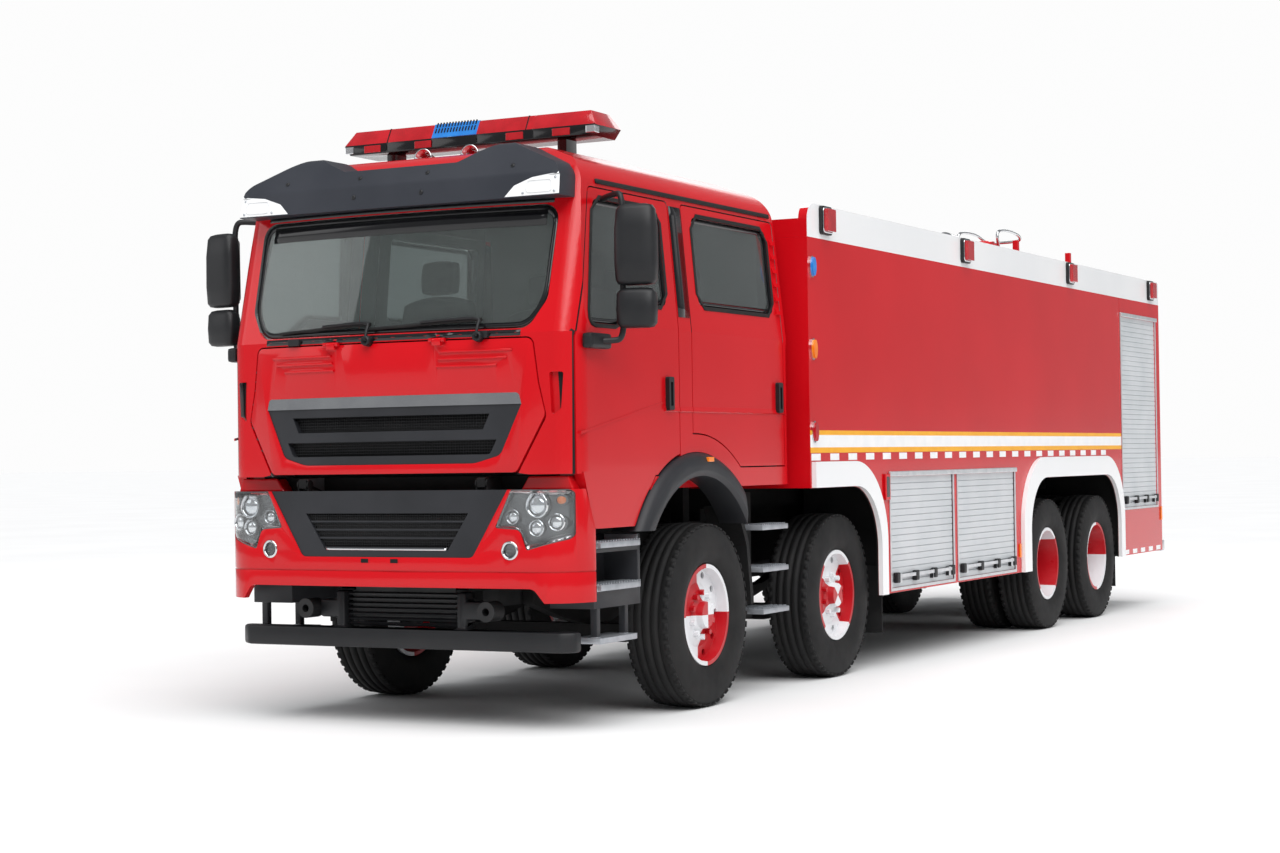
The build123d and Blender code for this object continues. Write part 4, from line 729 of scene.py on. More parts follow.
blockRows = blockRowTree()
nutRing = ringTree("nutRing", "GeometryNodeMeshCylinder", (
    ("Sides", "Int", "Vertices"), ("Nut Radius", "Float", "Radius"), ("Nut Height", "Float", "Depth")), False)
lugRing = ringTree("lugRing", "GeometryNodeMeshCube", (("Size", "Vector", "Size"),), True)
wireMesh = wireMeshTree()
sideways = Euler((0, math.pi / 2, 0))
print("helpers ready")

# hard-edged CAD nodes that show: eased copies catch the light along their edges
easedNodes = {  # width of the eased edge, what picks a finish, the finishes
    "front_lid": (0.003, None, "redPaint"), "front_bumper": (0.005, None, "redPaint"),
    "underrun_bar": (0.016, None, "blackPlastic"), "steps": (0.004, stepFace, "undercoat", "zincSteel", "greyPlastic"),
    "fenders": (0.010, None, "greyPlastic"), "light_bar": (0.008, barFace, "redLens", "glossBlack"),
    "rear_bumper": (0.006, None, "brushedAlloy"),
}
for node, (width, pick, *names) in easedNodes.items():
    softened(node, width, *names, pick=pick)
print("edges eased")

# tyres: turned carcass with tread grooves and shoulder lugs, standing for the plain CAD rings
tyre = {"halfWidth": 0.15, "grooves": (-0.078, -0.027, 0.027, 0.078), "grooveHalf": 0.006, "grooveDepth": 0.013,
        "grooveShape": ((-1, 0), (-0.8, 1), (0.8, 1), (1, 0)), "crown": 0.008, "segments": 72, "smoothArea": 0.004,
        "wall": [(0.112, 0.2985), (0.134, 0.315), (0.149, 0.37), (0.15, 0.42), (0.143, 0.48), (0.134, 0.512),
                 (0.126, wheelRadius - 0.012)],
        "lugs": 54, "lugSize": (0.010, 0.036, 0.034), "lugDrop": 0.0125, "lugX": 0.117}


def tyreProfile():
    tread = []
    for groove in tyre["grooves"]:
        for offset, depth in tyre["grooveShape"]:
            along = groove + offset * tyre["grooveHalf"]
            crown = tyre["crown"] * (along / tyre["halfWidth"]) ** 2
            tread.append((along, wheelRadius - crown - depth * tyre["grooveDepth"]))
    profile = [(-along, radius) for along, radius in tyre["wall"]] + tread + tyre["wall"][::-1]
    return profile + profile[:1]


def buildTyre(name, node, centres, body):
    bm = bmesh.new()
    for centre in centres:
        latheInto(bm, tyreProfile(), centre, (1, 0, 0), tyre["segments"])
        for end in (1, -1):
            lugs = grownMesh(name + "Lugs", lugRing, {
                "Count": tyre["lugs"], "Ring Radius": wheelRadius - tyre["lugDrop"], "Size": tyre["lugSize"],
                "Centre": centre + Vector((end * tyre["lugX"], 0, 0)), "Turn": sideways})
            bm.from_mesh(lugs)
            bpy.data.meshes.remove(lugs)
    piece = closeUp(name, bm, "rubber", body)
    for face in piece.data.polygons:
        face.use_smooth = face.area < tyre["smoothArea"]
    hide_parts(node)


wheel = {"nuts": 10, "nutRadius": 0.017, "nutHeight": 0.032, "nutSides": 6, "nutSeat": 0.014,
         "single": {"node": "tyre", "ring": 0.131, "face": 0.078, "rows": (0,)},
         "twin": {"node": "tyres", "ring": 0.146, "face": 0.036, "rows": (0.17, -0.17)}}
for name, tag, side in sides:
    for axle in "1234":
        fit = wheel["single" if axle in "12" else "twin"]
        body = f"wheel_{axle}_{name}_set"
        node = f"{fit['node']}_{axle}_{name}"
        hub = Vector((middle(node).x, axleY[axle], wheelRadius))
        buildTyre(f"tyre{axle}{tag}", node, [hub + Vector((x, 0, 0)) for x in fit["rows"]], body)
        grow(f"nuts{axle}{tag}", nutRing, f"wheelQuarters{axle}", body, {
            "Count": wheel["nuts"], "Ring Radius": fit["ring"], "Nut Radius": wheel["nutRadius"],
            "Nut Height": wheel["nutHeight"], "Sides": wheel["nutSides"], "Turn": sideways,
            "Centre": hub + Vector((side * (fit["face"] + wheel["nutSeat"]), 0, 0))})
print("wheels finished")

# body livery: tape lines along the sides and the reflective blocks under them
livery = {"lines": ((1.60, 1.63, "yellowTape"), (1.52, 1.60, "whiteTape"), (1.485, 1.52, "yellowTape")),
          "seam": 0.67, "thick": 0.0015, "lineEnds": (0.005, 0.006), "blockThick": 0.002, "blockZ": (1.436, 1.480),
          "blockLength": 0.145, "blockPitch": 0.305, "blockStart": 0.09, "blocks": 22,
          "skirtSize": (0.14, 0.04), "skirtPitch": 0.27, "skirtStart": 0.12, "skirtZ": 0.03, "skirtBlocks": 5}
seamY = axleY["4"] + livery["seam"]


def wallX(side, proud):
    return side * (bodyX + proud)


def tapeRow(name, side, count, y, z, pitch, size):
    grow(name, blockRows, "whiteTape", "chassis", {
        "Count": count, "Start": (wallX(side, livery["blockThick"] / 2), y, z), "Step": (0, pitch, 0), "Rows": 1,
        "Size": (livery["blockThick"], *size)})


for name, tag, side in sides:
    startIn, endIn = livery["lineEnds"]
    for n, (low, high, finish) in enumerate(livery["lines"]):
        blocks(f"bodyLine{n}{tag}", [((side * bodyX, bodyLow.y + startIn, low),
                                      (wallX(side, livery["thick"]), seamY - endIn, high))], finish, "chassis", 0)
    low, high = livery["blockZ"]
    tapeRow(f"reflectors{tag}", side, livery["blocks"], bodyLow.y + livery["blockStart"], (low + high) / 2,
            livery["blockPitch"], (livery["blockLength"], high - low))
    tapeRow(f"skirtReflectors{tag}", side, livery["skirtBlocks"], seamY + livery["skirtStart"],
            bodyLow.z + livery["skirtZ"], livery["skirtPitch"], livery["skirtSize"])
print("livery finished")

# side glass: rubber seals on the doors and a dark ceramic edge on each pane
pane = {"front": [(-1.368, 2.20), (-1.01, 2.20), (-0.83, 2.335), (-0.44, 2.335), (-0.44, 2.885), (-1.205, 2.885)],
        "rear": [(-0.02, 2.36), (1.03, 2.36), (1.02, 2.885), (-0.02, 2.885)], "corner": 0.07, "sunk": 0.001,
        "rims": (("seal", "door", 0.001, 0.024, 0.004, "rubber"),
                 ("edge", "glass", -0.03, -0.002, 0.001, "glossBlack"))}
for name, tag, side in sides:
    for end, endTag in ends:
        loop = roundedLoop([(y + cabY, z) for y, z in pane[end]], pane["corner"])
        for label, kind, inner, outer, lift, finish in pane["rims"]:
            node = f"{kind}_{end}_{name}"
            rows = [[fromSide(node, side, *spot) for spot in pair] for pair in band(loop, inner, outer)]
            sheetOf(f"{label}{endTag}{tag}", rows, lift, lift + pane["sunk"], finish, f"door_{end}_{name}_set",
                    closed=True)

# windscreen: ceramic border, sunshade band, strips above and below, wipers
screen = {"loop": [(-0.88, 2.172), (0.88, 2.172), (0.975, 2.33), (0.985, 2.85), (-0.985, 2.85), (-0.975, 2.33)],
          "corner": 0.12, "border": (-0.035, -0.003), "borderLift": (0.001, 0.002), "shadeHalf": 0.91, "shadeSteps": 40,
          "shadeZ": (2.735, 2.79, 2.822), "shadeLift": (0.0018, 0.002), "stripSteps": 60, "stripLift": (0.002, 0.003),
          "strips": (("Top", 0.95, 2.857, 2.884), ("Foot", 0.84, 2.134, 2.166))}
wiper = {"spans": ((0.60, -0.13), (-0.10, -0.74)), "pivotZ": 2.135, "bladeZ": (2.235, 2.205), "steps": 4, "lift": 0.028,
         "cap": ((0, 0), (0.045, 0.018), (0.04, 0.026), (-0.005, 0.032), (-0.005, 0)), "capSegments": 24,
         "armFoot": (0, -0.035, 0), "armKnee": (0, -0.03, 0), "arm": 0.008, "bladeDrop": (0, 0.012, -0.012),
         "blade": 0.009, "covers": (0.62, -0.62), "coverZ": 2.14,
         "cover": ((-0.040, -0.022, -0.014), (0.040, 0.012, 0.026)),
         "coverBevel": 0.008}


def frontRows(node, half, zs, steps):
    return [[fromFront(node, x, z) for z in zs] for x in evenly(-half, half, steps)]


rim = band(roundedLoop(screen["loop"], screen["corner"]), *screen["border"])
sheetOf("screenBorder", [[fromFront("windscreen", *spot) for spot in pair] for pair in rim], *screen["borderLift"],
        "glossBlack", "cab", closed=True)
sheetOf("screenShade", frontRows("windscreen", screen["shadeHalf"], screen["shadeZ"], screen["shadeSteps"]),
        *screen["shadeLift"], "glossBlack", "cab")
for label, half, *zs in screen["strips"]:
    sheetOf(f"screenStrip{label}", frontRows("cab_shell", half, zs, screen["stripSteps"]), *screen["stripLift"],
            "glossBlack", "cab")
for n, span in enumerate(wiper["spans"]):
    pivot, out = fromFront("cab_shell", span[0], wiper["pivotZ"])
    lathe(f"wiperCap{n}", wiper["cap"], pivot, out, "blackPlastic", "cab", wiper["capSegments"])
    steps = wiper["steps"]
    hits = [fromFront("windscreen", x, z) for x, z in zip(evenly(*span, steps), evenly(*wiper["bladeZ"], steps))]
    run = [spot + out * wiper["lift"] for spot, out in hits]
    knee = (pivot + run[0]) / 2 + Vector(wiper["armKnee"])
    rod(f"wiperArm{n}", [pivot + Vector(wiper["armFoot"]), knee, *run[:3]], wiper["arm"], "blackPlastic", "cab")
    rod(f"wiperBlade{n}", [spot + Vector(wiper["bladeDrop"]) for spot in run], wiper["blade"], "rubber", "cab")
for n, x in enumerate(wiper["covers"]):
    spot, _ = fromFront("cab_shell", x, wiper["coverZ"])
    blockAt(f"wiperCover{n}", spot, *wiper["cover"], "blackPlastic", "cab", wiper["coverBevel"])
print("glass finished")

# nose: wire mesh behind the grille openings with dark sheets behind it as painted shade, a bright strip, bolts on the
# visor
noseCurve = noseBow / cabX ** 2
panelCurve, panelFront = 0.0287, -5.75
meshes = {"wire": 0.0016,
          "grille": {"half": 0.70, "z": (1.485, 1.735), "y": noseY + 0.034, "bow": noseCurve, "grid": (88, 17)},
          "panel": {"half": 0.54, "z": (0.985, 1.188), "y": panelFront + 0.019, "bow": panelCurve, "grid": (72, 15)}}
bowed = {"steps": 24,  # half widths at foot and top, heights, depth, bow, thickness
         "grilleShadeSheet": (0.66, 0.78, 1.47, 1.75, noseY + 0.046, noseCurve, 0.003),
         "panelStrip": (0.392, 0.398, 0.983, 0.994, panelFront + 0.003, panelCurve, 0.006),
         "panelShadow": (0.40, 0.53, 0.986, 1.184, panelFront + 0.0225, panelCurve, 0.001)}
visor = {"bolts": ((-0.75, 3.06), (-0.25, 3.06), (0.20, 3.06), (0.75, 3.06), (-0.27, 2.95), (0.18, 2.95)),
         "boltRadius": 0.013, "boltSides": 16, "screwSides": 12,
         "bolt": ((-0.002, 1), (0.003, 1), (0.006, 0.6), (0.006, 0)),
         "blank": (0.86, 1.01, 2.905, 2.965), "blankCorner": 0.02, "rimWidth": 0.006, "rimLift": (0.004, 0.005),
         "screws": ((0.835, 2.90), (1.03, 2.90), (1.03, 2.975)), "screw": ((-0.002, 0.007), (0.003, 0.007), (0.004, 0))}


def wireScreen(name, fit, body):
    low, high = fit["z"]
    grow(name, wireMesh, "blackPlastic", body, {
        "Width": 2 * fit["half"], "Height": high - low, "Columns": fit["grid"][0], "Rows": fit["grid"][1],
        "Wire": meshes["wire"], "Bow": fit["bow"], "Centre": (0, fit["y"], (low + high) / 2)})


def bowedSheet(name, finish, body):
    halfLow, halfHigh, low, high, y, bow, thick = bowed[name]
    rows = []
    for share in evenly(-1, 1, 2 * bowed["steps"]):
        spots = [(half * share, z) for half, z in ((halfLow, low), (halfHigh, high))]
        rows.append([(Vector((x, y + bow * x * x, z)), Vector((0, -1, 0))) for x, z in spots])
    sheetOf(name, rows, 0.0, thick, finish, body)


wireScreen("grilleMesh", meshes["grille"], "lid")
# painted shade: a dark sheet behind the grille mesh stands for the shade in the opening
bowedSheet("grilleShadeSheet", "undercoat", "lid")
wireScreen("panelMesh", meshes["panel"], "chassis")
bowedSheet("panelStrip", "chrome", "chassis")
bowedSheet("panelShadow", "undercoat", "chassis")
studs("visorBolts", "visor", visor["bolts"], scaled(visor["bolt"], visor["boltRadius"]), visor["boltSides"],
      "blackPlastic", "cab")
for name, tag, side in sides:
    rim = band(boxLoop(*visor["blank"], visor["blankCorner"]), 0, visor["rimWidth"])
    sheetOf(f"blankRim{tag}", [[fromFront("visor", side * x, z) for x, z in pair] for pair in rim], *visor["rimLift"],
            "whitePaint", "cab", closed=True)
    studs(f"blankScrews{tag}", "visor", [(side * x, z) for x, z in visor["screws"]], visor["screw"],
          visor["screwSides"], "zincSteel", "cab")

# head lamps: clear covers over ringed projectors, amber indicators, bright fog lamp rims
headLamp = {"x": (0.706, 1.128), "columns": 26, "levels": 8, "coverLift": (-0.002, 0.0018), "skinZ": 0.915,
            "low": ((0.70, 1.112), (0.85, 1.102), (0.89, 0.992), (1.13, 1.057)),
            "high": ((0.70, 1.118), (0.79, 1.304), (1.13, 1.304)), "sunk": 0.030, "tilt": (0, -1.5, 0), "segments": 32,
            "projectors": ((0.945, 1.225, 0.070), (0.80, 1.165, 0.043), (0.94, 1.105, 0.049), (1.043, 1.135, 0.049)),
            "ring": ((-0.004, 0.72), (0.014, 0.78), (0.018, 0.9), (0.014, 1), (-0.004, 1), (-0.004, 0.72)),
            "lens": ((-0.004, 0.72), (0.004, 0.7), (0.012, 0.45), (0.015, 0)),
            "amberLens": ((-0.004, 1), (0.006, 0.95), (0.014, 0.6), (0.017, 0)),
            "fogLens": ((-0.012, 0.8), (-0.006, 0.5), (-0.003, 0)),
            "fogRim": ((-0.02, 0.8), (0.002, 0.82), (0.006, 0.95), (0.002, 1.12), (-0.002, 1.12), (-0.02, 0.8)),
            "small": (("indicator", "amberLens", (1.066, 1.252, 0.027), 0.030, "amberLens", 24),
                      ("fogRim", "fogRim", (0.79, 0.985, 0.046), 0, "chrome", 36),
                      ("fogLens", "fogLens", (0.79, 0.985, 0.046), 0, "lampGlass", 28))}


def between(value, points):
    for (x0, z0), (x1, z1) in zip(points, points[1:]):
        if x0 <= value <= x1:
            return z0 + (z1 - z0) * (value - x0) / (x1 - x0)
    return points[-1][1]


def lampSeat(x, z, sunk):  # the bumper's face is the same at every height, read where it is whole
    spot, out = fromFront("front_bumper", x, headLamp["skinZ"])
    return Vector((spot.x, spot.y + sunk, z)), out


for name, tag, side in sides:
    rows = []
    for x in evenly(*headLamp["x"], headLamp["columns"]):
        low, high = between(x, headLamp["low"]), between(x, headLamp["high"])
        rows.append([lampSeat(side * x, z, 0) for z in evenly(low, high, headLamp["levels"])])
    sheetOf(f"lampCover{tag}", rows, *headLamp["coverLift"], "lampGlass", "chassis")
    rings, lenses = bmesh.new(), bmesh.new()
    for x, z, radius in headLamp["projectors"]:
        spot, out = lampSeat(side * x, z, headLamp["sunk"])
        axis = out + Vector(headLamp["tilt"])
        latheInto(rings, scaled(headLamp["ring"], radius), spot, axis, headLamp["segments"])
        latheInto(lenses, scaled(headLamp["lens"], radius), spot, axis, headLamp["segments"])
    closeUp(f"lampRings{tag}", rings, "chrome", "chassis", smooth=True)
    closeUp(f"lampLenses{tag}", lenses, "reflector", "chassis", smooth=True)
    for label, profile, (x, z, radius), sunk, finish, segments in headLamp["small"]:
        seatSpot, out = lampSeat(side * x, z, sunk)
        lathe(f"{label}{tag}", scaled(headLamp[profile], radius), seatSpot, out, finish, "chassis", segments)
print("nose finished")

# light bar: blue louvred centre, lamp squares along the base, two trumpet horns behind the visor
bar = {"y": cabY - 0.60, "base": 3.31, "blue": (-0.242, 0.067), "seams": (-0.56, 0.40), "seamWidth": 0.006,
       "profile": ((-0.152, 0.062), (-0.107, 0.147), (0.107, 0.147), (0.152, 0.062), (0.148, 0.055), (-0.148, 0.055)),
       "louvres": 14, "louvreStart": (0.02, -0.131, 0.104), "louvreStep": 0.0207, "louvreRow": (0, 0.019, 0.036),
       "louvreSize": (0.007, 0.006, 0.03), "louvreLean": -0.487, "lamps": (-0.72, -0.36, 0.27, 0.58),
       "lampWidth": 0.115, "lampY": (-0.156, -0.148), "lampZ": (0.008, 0.050), "endX": (0.80, 0.86),
       "endY": (-0.154, -0.10), "endZ": (0.010, 0.052), "bevel": 0.002, "endBevel": 0.004}
horn = {"x": (0.10, -0.22), "y": cabY - 0.75, "z": 3.232, "segments": 32,
        "profile": ((-0.20, 0.0), (-0.20, 0.022), (0.02, 0.026), (0.10, 0.045), (0.13, 0.062), (0.13, 0.055),
                    (0.09, 0.036), (0.0, 0.0))}


def barSpot(x, y, z):
    return x, bar["y"] + y, bar["base"] + z


def barPrism(name, x0, x1, finish):
    prism(name, *([barSpot(x, y, z) for y, z in bar["profile"]] for x in (x0, x1)), finish, "cab")


def barBlocks(name, spans, yPair, zPair, finish, bevel):
    blocks(name, [[barSpot(*spot) for spot in zip(span, yPair, zPair)] for span in spans], finish, "cab", bevel)


barPrism("barCentre", *bar["blue"], "blueLens")
inX, inY, inZ = bar["louvreStart"]
grow("barLouvres", blockRows, "glossBlack", "cab", {
    "Count": bar["louvres"], "Start": barSpot(bar["blue"][0] + inX, inY, inZ), "Step": (bar["louvreStep"], 0, 0),
    "Rows": 2, "Row Step": bar["louvreRow"], "Size": bar["louvreSize"], "Turn": Euler((bar["louvreLean"], 0, 0))})
barBlocks("barLamps", [(x, x + bar["lampWidth"]) for x in bar["lamps"]], bar["lampY"], bar["lampZ"], "redLens",
          bar["bevel"])
for n, x in enumerate(bar["seams"]):
    barPrism(f"barSeam{n}", x, x + bar["seamWidth"], "glossBlack")
endSpans = [[side * x for x in bar["endX"]] for _, _, side in sides]
barBlocks("barEndLamps", endSpans, bar["endY"], bar["endZ"], "reflector", bar["endBevel"])
for n, x in enumerate(horn["x"]):
    lathe(f"horn{n}", horn["profile"], (x, horn["y"], horn["z"]), (0, -1, 0), "chrome", "cab", horn["segments"])

# cab sides: gutter, dark pillar panel, arch lamp
cabSide = {"gutterY": (-1.16, 1.17), "gutterZ": (2.972, 2.996), "gutterSteps": 30, "gutterLift": (0.010, 0.012),
           "pillarY": (-0.300, -0.160), "pillarZ": (2.28, 2.925), "pillarSteps": (2, 10), "pillarLift": (0.004, 0.005),
           "lamp": (-0.02, 1.455), "lampHalf": (0.035, 0.014), "lampX": (-0.004, 0.016), "lampBevel": 0.004}
for name, tag, side in sides:
    rows = [[fromSide("cab_shell", side, cabY + y, z) for z in cabSide["gutterZ"]]
            for y in evenly(*cabSide["gutterY"], cabSide["gutterSteps"])]
    sheetOf(f"gutter{tag}", rows, *cabSide["gutterLift"], "rubber", "cab")
    across, up = cabSide["pillarSteps"]
    rows = [[fromSide("cab_shell", side, cabY + y, z) for z in evenly(*cabSide["pillarZ"], up)]
            for y in evenly(*cabSide["pillarY"], across)]
    sheetOf(f"pillarPanel{tag}", rows, *cabSide["pillarLift"], "glossBlack", "cab")
    (y, z), (halfY, halfZ), (inX, outX) = cabSide["lamp"], cabSide["lampHalf"], cabSide["lampX"]
    spot, _ = fromSide("fenders", side, axleY["1"] + y, z)
    blockAt(f"archLamp{tag}", spot, (inX, -halfY, -halfZ), (side * outX, halfY, halfZ), "amberLens", "cab",
            cabSide["lampBevel"])
print("cab sides finished")

# rear door louvres: pressed hoods behind the window
louvre = {"count": 6, "low": 2.36, "pitch": 0.088, "y": 1.068, "length": 0.054, "drop": 0.045, "proud": 0.016}
for name, tag, side in sides:
    bm = bmesh.new()
    for n in range(louvre["count"]):
        z = louvre["low"] + n * louvre["pitch"]
        upper, lower = (fromSide(f"door_rear_{name}", side, cabY + louvre["y"], z + up)[0]
                        for up in (louvre["drop"], 0))
        hood = (upper, lower, lower + Vector((side * louvre["proud"], 0, 0)))
        prismInto(bm, hood, [spot + Vector((0, louvre["length"], 0)) for spot in hood])
    closeUp(f"rearLouvres{tag}", bm, "redPaint", f"door_rear_{name}_set")

# lid: slender pressed ribs each side of the bare middle
rib = {"rows": ((0.36, 0.79, 2.060), (0.35, 0.76, 2.020), (0.34, 0.70, 1.980)), "radius": 0.0075, "sunk": 0.001,
       "steps": 8}
for name, tag, side in sides:
    for n, (inner, outer, z) in enumerate(rib["rows"]):
        hits = [fromFront("front_lid", side * x, z)[0] for x in evenly(inner, outer, rib["steps"])]
        rod(f"lidRib{n}{tag}", [spot + Vector((0, rib["sunk"], 0)) for spot in hits], rib["radius"], "redPaint", "lid")

# mirrors: rounded heads on a bent tube, standing for the plain CAD arms and heads
mirror = {"x": 1.384, "y": cabY - 1.26, "turn": 12, "square": 0.55, "flatBack": 0.72, "steps": 36,
          "heads": (((2.395, 0.070, 0.026), (2.400, 0.098, 0.046), (2.420, 0.112, 0.060), (2.52, 0.118, 0.066),
                     (2.70, 0.116, 0.066), (2.80, 0.106, 0.058), (2.822, 0.092, 0.044), (2.830, 0.060, 0.024)),
                    ((2.165, 0.066, 0.026), (2.170, 0.092, 0.046), (2.190, 0.108, 0.058), (2.27, 0.112, 0.062),
                     (2.35, 0.108, 0.058), (2.374, 0.090, 0.044), (2.380, 0.060, 0.024))),
          "paneBack": (0.0475, 0.0445), "paneHalf": (0.088, 0.084), "paneIn": (0.006, 0.004), "paneCorner": 0.03,
          "paneThick": 0.004, "tube": 0.017,
          "run": ((1.185, -0.08, 2.10), (1.24, -0.03, 2.10), (1.30, 0, 2.11), (1.30, 0, 2.30), (1.30, 0, 2.70),
                  (1.30, 0, 2.89), (1.24, 0.03, 2.90), (1.12, 0.11, 2.885)),
          "foot": ((1.151, -0.20, 2.058), (1.214, 0.03, 2.142)), "footBevel": 0.02}


def mirrorSpot(side, u, v, z):  # across and back from the middle of a head, turned a little inwards
    turn = math.radians(mirror["turn"]) * side
    return Vector((side * mirror["x"] + u * math.cos(turn) - v * math.sin(turn),
                   mirror["y"] + u * math.sin(turn) + v * math.cos(turn), z))


def mirrorRing(side, z, halfX, halfY):  # one level of a head: a squarish oval
    ring = []
    for step in range(mirror["steps"]):
        angle = 2 * math.pi * step / mirror["steps"]
        c, s = math.cos(angle), math.sin(angle)
        u = math.copysign(abs(c) ** mirror["square"], c) * halfX
        v = math.copysign(abs(s) ** mirror["square"], s) * halfY * (mirror["flatBack"] if s > 0 else 1.0)
        ring.append(mirrorSpot(side, u, v, z))
    return ring


for name, tag, side in sides:
    body = f"door_front_{name}_set"
    for n, levels in enumerate(mirror["heads"]):
        head = loft(f"mirrorHead{n}{tag}", [mirrorRing(side, *row) for row in levels], "blackPlastic", body)
        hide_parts(f"mirror_{name}")
        (footIn, topIn), (footHalf, topHalf) = mirror["paneIn"], mirror["paneHalf"]
        low, high = levels[2][0] + footIn, levels[-3][0] - topIn
        loop = roundedLoop([(-footHalf, low), (footHalf, low), (topHalf, high), (-topHalf, high)], mirror["paneCorner"])
        back = mirror["paneBack"][n]
        prism(f"mirrorPane{n}{tag}", *([mirrorSpot(side, u, v, z) for u, z in loop] for v in
                                       (back, back + mirror["paneThick"])), "mirrorGlass", body)
    rod(f"mirrorTube{tag}", [(side * x, mirror["y"] + y, z) for x, y, z in mirror["run"]], mirror["tube"],
        "blackPlastic", body)
    blocks(f"mirrorFoot{tag}", [[(side * x, mirror["y"] + y, z) for x, y, z in mirror["foot"]]], "blackPlastic", body,
           mirror["footBevel"])
print("cab trim finished")

# seats: padded cushions, backs and head rests with sewn channels, on plain boxes
seat = {"places": ((0.5, -0.56, 0.54), (-0.5, -0.56, 0.54), (0.5, 0.72, 0.60), (-0.5, 0.72, 0.60), (0, 0.72, 0.34)),
        "floor": 1.3505, "cuts": 11, "soft": 0.42, "crown": 0.12, "channels": (-0.36, 0.36), "channelDepth": 0.10,
        "channelWidth": 0.09, "lean": -math.radians(6), "thick": 0.068, "base": (0, 0.360, 0.25),
        "back": (0.245, 0.775, 0.35), "rest": (0.288, 1.235), "restHalf": (0.13, 0.045, 0.105), "boxIn": 0.06,
        "boxHalf": 0.15, "boxHigh": 0.30, "boxBevel": 0.012, "stays": (("", -0.05), ("b", 0.05)),
        "stayRun": ((0.27, 1.08), (0.285, 1.2)), "stay": 0.007}


def ballShare(a, b, c):  # one coordinate of a cube's point moved to the ball inside it
    return a * math.sqrt(1 - b * b / 2 - c * c / 2 + b * b * c * c / 3)


def cushionInto(bm, centre, half, lean, channels=()):
    part = bmesh.new()
    bmesh.ops.create_cube(part, size=2)
    bmesh.ops.subdivide_edges(part, edges=part.edges[:], cuts=seat["cuts"], use_grid_fill=True)
    for vert in part.verts:
        x, y, z = vert.co
        puffed = vert.co.lerp(Vector((ballShare(x, y, z), ballShare(y, x, z), ballShare(z, x, y))), seat["soft"])
        front = max(0.0, -puffed.y)
        puffed.y -= front * seat["crown"] * (1 - x * x) * (1 - z * z)
        for line in channels:
            puffed.y += front * seat["channelDepth"] * math.exp(-((x - line) / seat["channelWidth"]) ** 2)
        vert.co = puffed * Vector(half)
    bmesh.ops.rotate(part, cent=(0, 0, 0), matrix=Matrix.Rotation(lean, 3, "X"), verts=part.verts)
    bmesh.ops.translate(part, vec=centre, verts=part.verts)
    mesh = bpy.data.meshes.new("cushion")
    part.to_mesh(mesh)
    part.free()
    bm.from_mesh(mesh)
    bpy.data.meshes.remove(mesh)


for n, (x, y, width) in enumerate(seat["places"]):
    half, y, floor = width / 2, y + cabY, seat["floor"]
    bm = bmesh.new()
    for (back, up, long), lean in ((seat["base"], -math.pi / 2), (seat["back"], seat["lean"])):
        cushionInto(bm, (x, y + back, floor + up), (half, seat["thick"], long), lean, seat["channels"])
    back, up = seat["rest"]
    cushionInto(bm, (x, y + back, floor + up), seat["restHalf"], seat["lean"])
    pad = closeUp(f"seatPad{n}", bm, "seatCloth", "cab", smooth=True)
    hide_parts("seats")
    boxX, boxY = half - seat["boxIn"], seat["boxHalf"]
    blocks(f"seatBox{n}", [((x - boxX, y - boxY, floor), (x + boxX, y + boxY, floor + seat["boxHigh"]))], "cabTrim",
           "cab", seat["boxBevel"])
    for label, across in seat["stays"]:
        rod(f"seatStays{n}{label}", [(x + across, y + back, floor + up) for back, up in seat["stayRun"]], seat["stay"],
            "chrome", "cab")
print("seats finished")

# front end: red brows over the head lamps, dark blocks as painted shade in the bumper's holes, radiator slats below it
brow = {"loop": ((0.785, 1.306), (1.107, 1.306), (1.08, 1.380), (0.834, 1.380)), "y": (-5.60, -5.43), "bevel": 0.010,
        "rounds": 3}
hole = {"x": (-0.134, 0.061), "z": 0.925, "low": (-0.024, -0.0015, -0.011), "high": (0.024, 0.004, 0.011),
        "bevel": 0.001}
slat = {"count": 7, "low": 0.565, "pitch": 0.028, "size": (0.84, 0.018, 0.012), "lean": 0.5, "proud": 0.008,
        "castZ": 0.66}
for name, tag, side in sides:
    bm = bmesh.new()
    prismInto(bm, *([(side * x, y, z) for x, z in brow["loop"]] for y in brow["y"]))
    bevelEdges(bm, bm.edges[:], brow["bevel"], brow["rounds"])
    closeUp(f"lampBrow{tag}", bm, "redPaint", "chassis")
# painted shade: dark blocks on the bumper face stand for the shade inside its holes
bm = bmesh.new()
for x in hole["x"]:
    spot, _ = fromFront("front_bumper", x, hole["z"])
    blockInto(bm, spot + Vector(hole["low"]), spot + Vector(hole["high"]), hole["bevel"])
closeUp("bumperHoleShade", bm, "undercoat", "chassis")
spot, _ = fromFront("powertrain", 0, slat["castZ"])
grow("radiatorSlats", blockRows, "blackPlastic", "chassis", {
    "Count": 1, "Start": (0, spot.y - slat["proud"], slat["low"]), "Step": (0, 0, 0), "Rows": slat["count"],
    "Row Step": (0, 0, slat["pitch"]), "Size": slat["size"], "Turn": Euler((slat["lean"], 0, 0))})

# steps: toothed grip strips on the treads
tread = {"front": (0.755, 0.985), "frontY": (-1.31, -0.83), "rear": (0.49, 0.75, 1.01), "rearY": (0.80, 1.135),
         "pitch": 0.03, "tooth": (0.016, 0.010, 0.008), "x": 1.045, "rows": 4, "rowPitch": 0.032, "top": 0.035}
for name, tag, side in sides:
    for end, endTag in ends:
        y0, y1 = tread[end + "Y"]
        for n, z in enumerate(tread[end]):
            grow(f"gripTeeth{endTag}{n}{tag}", blockRows, "zincSteel", "chassis", {
                "Count": int((y1 - y0) / tread["pitch"]) + 1, "Start": (side * tread["x"], cabY + y0, z + tread["top"]),
                "Step": (0, tread["pitch"], 0), "Rows": tread["rows"], "Row Step": (side * tread["rowPitch"], 0, 0),
                "Size": tread["tooth"]})
print("front end finished")

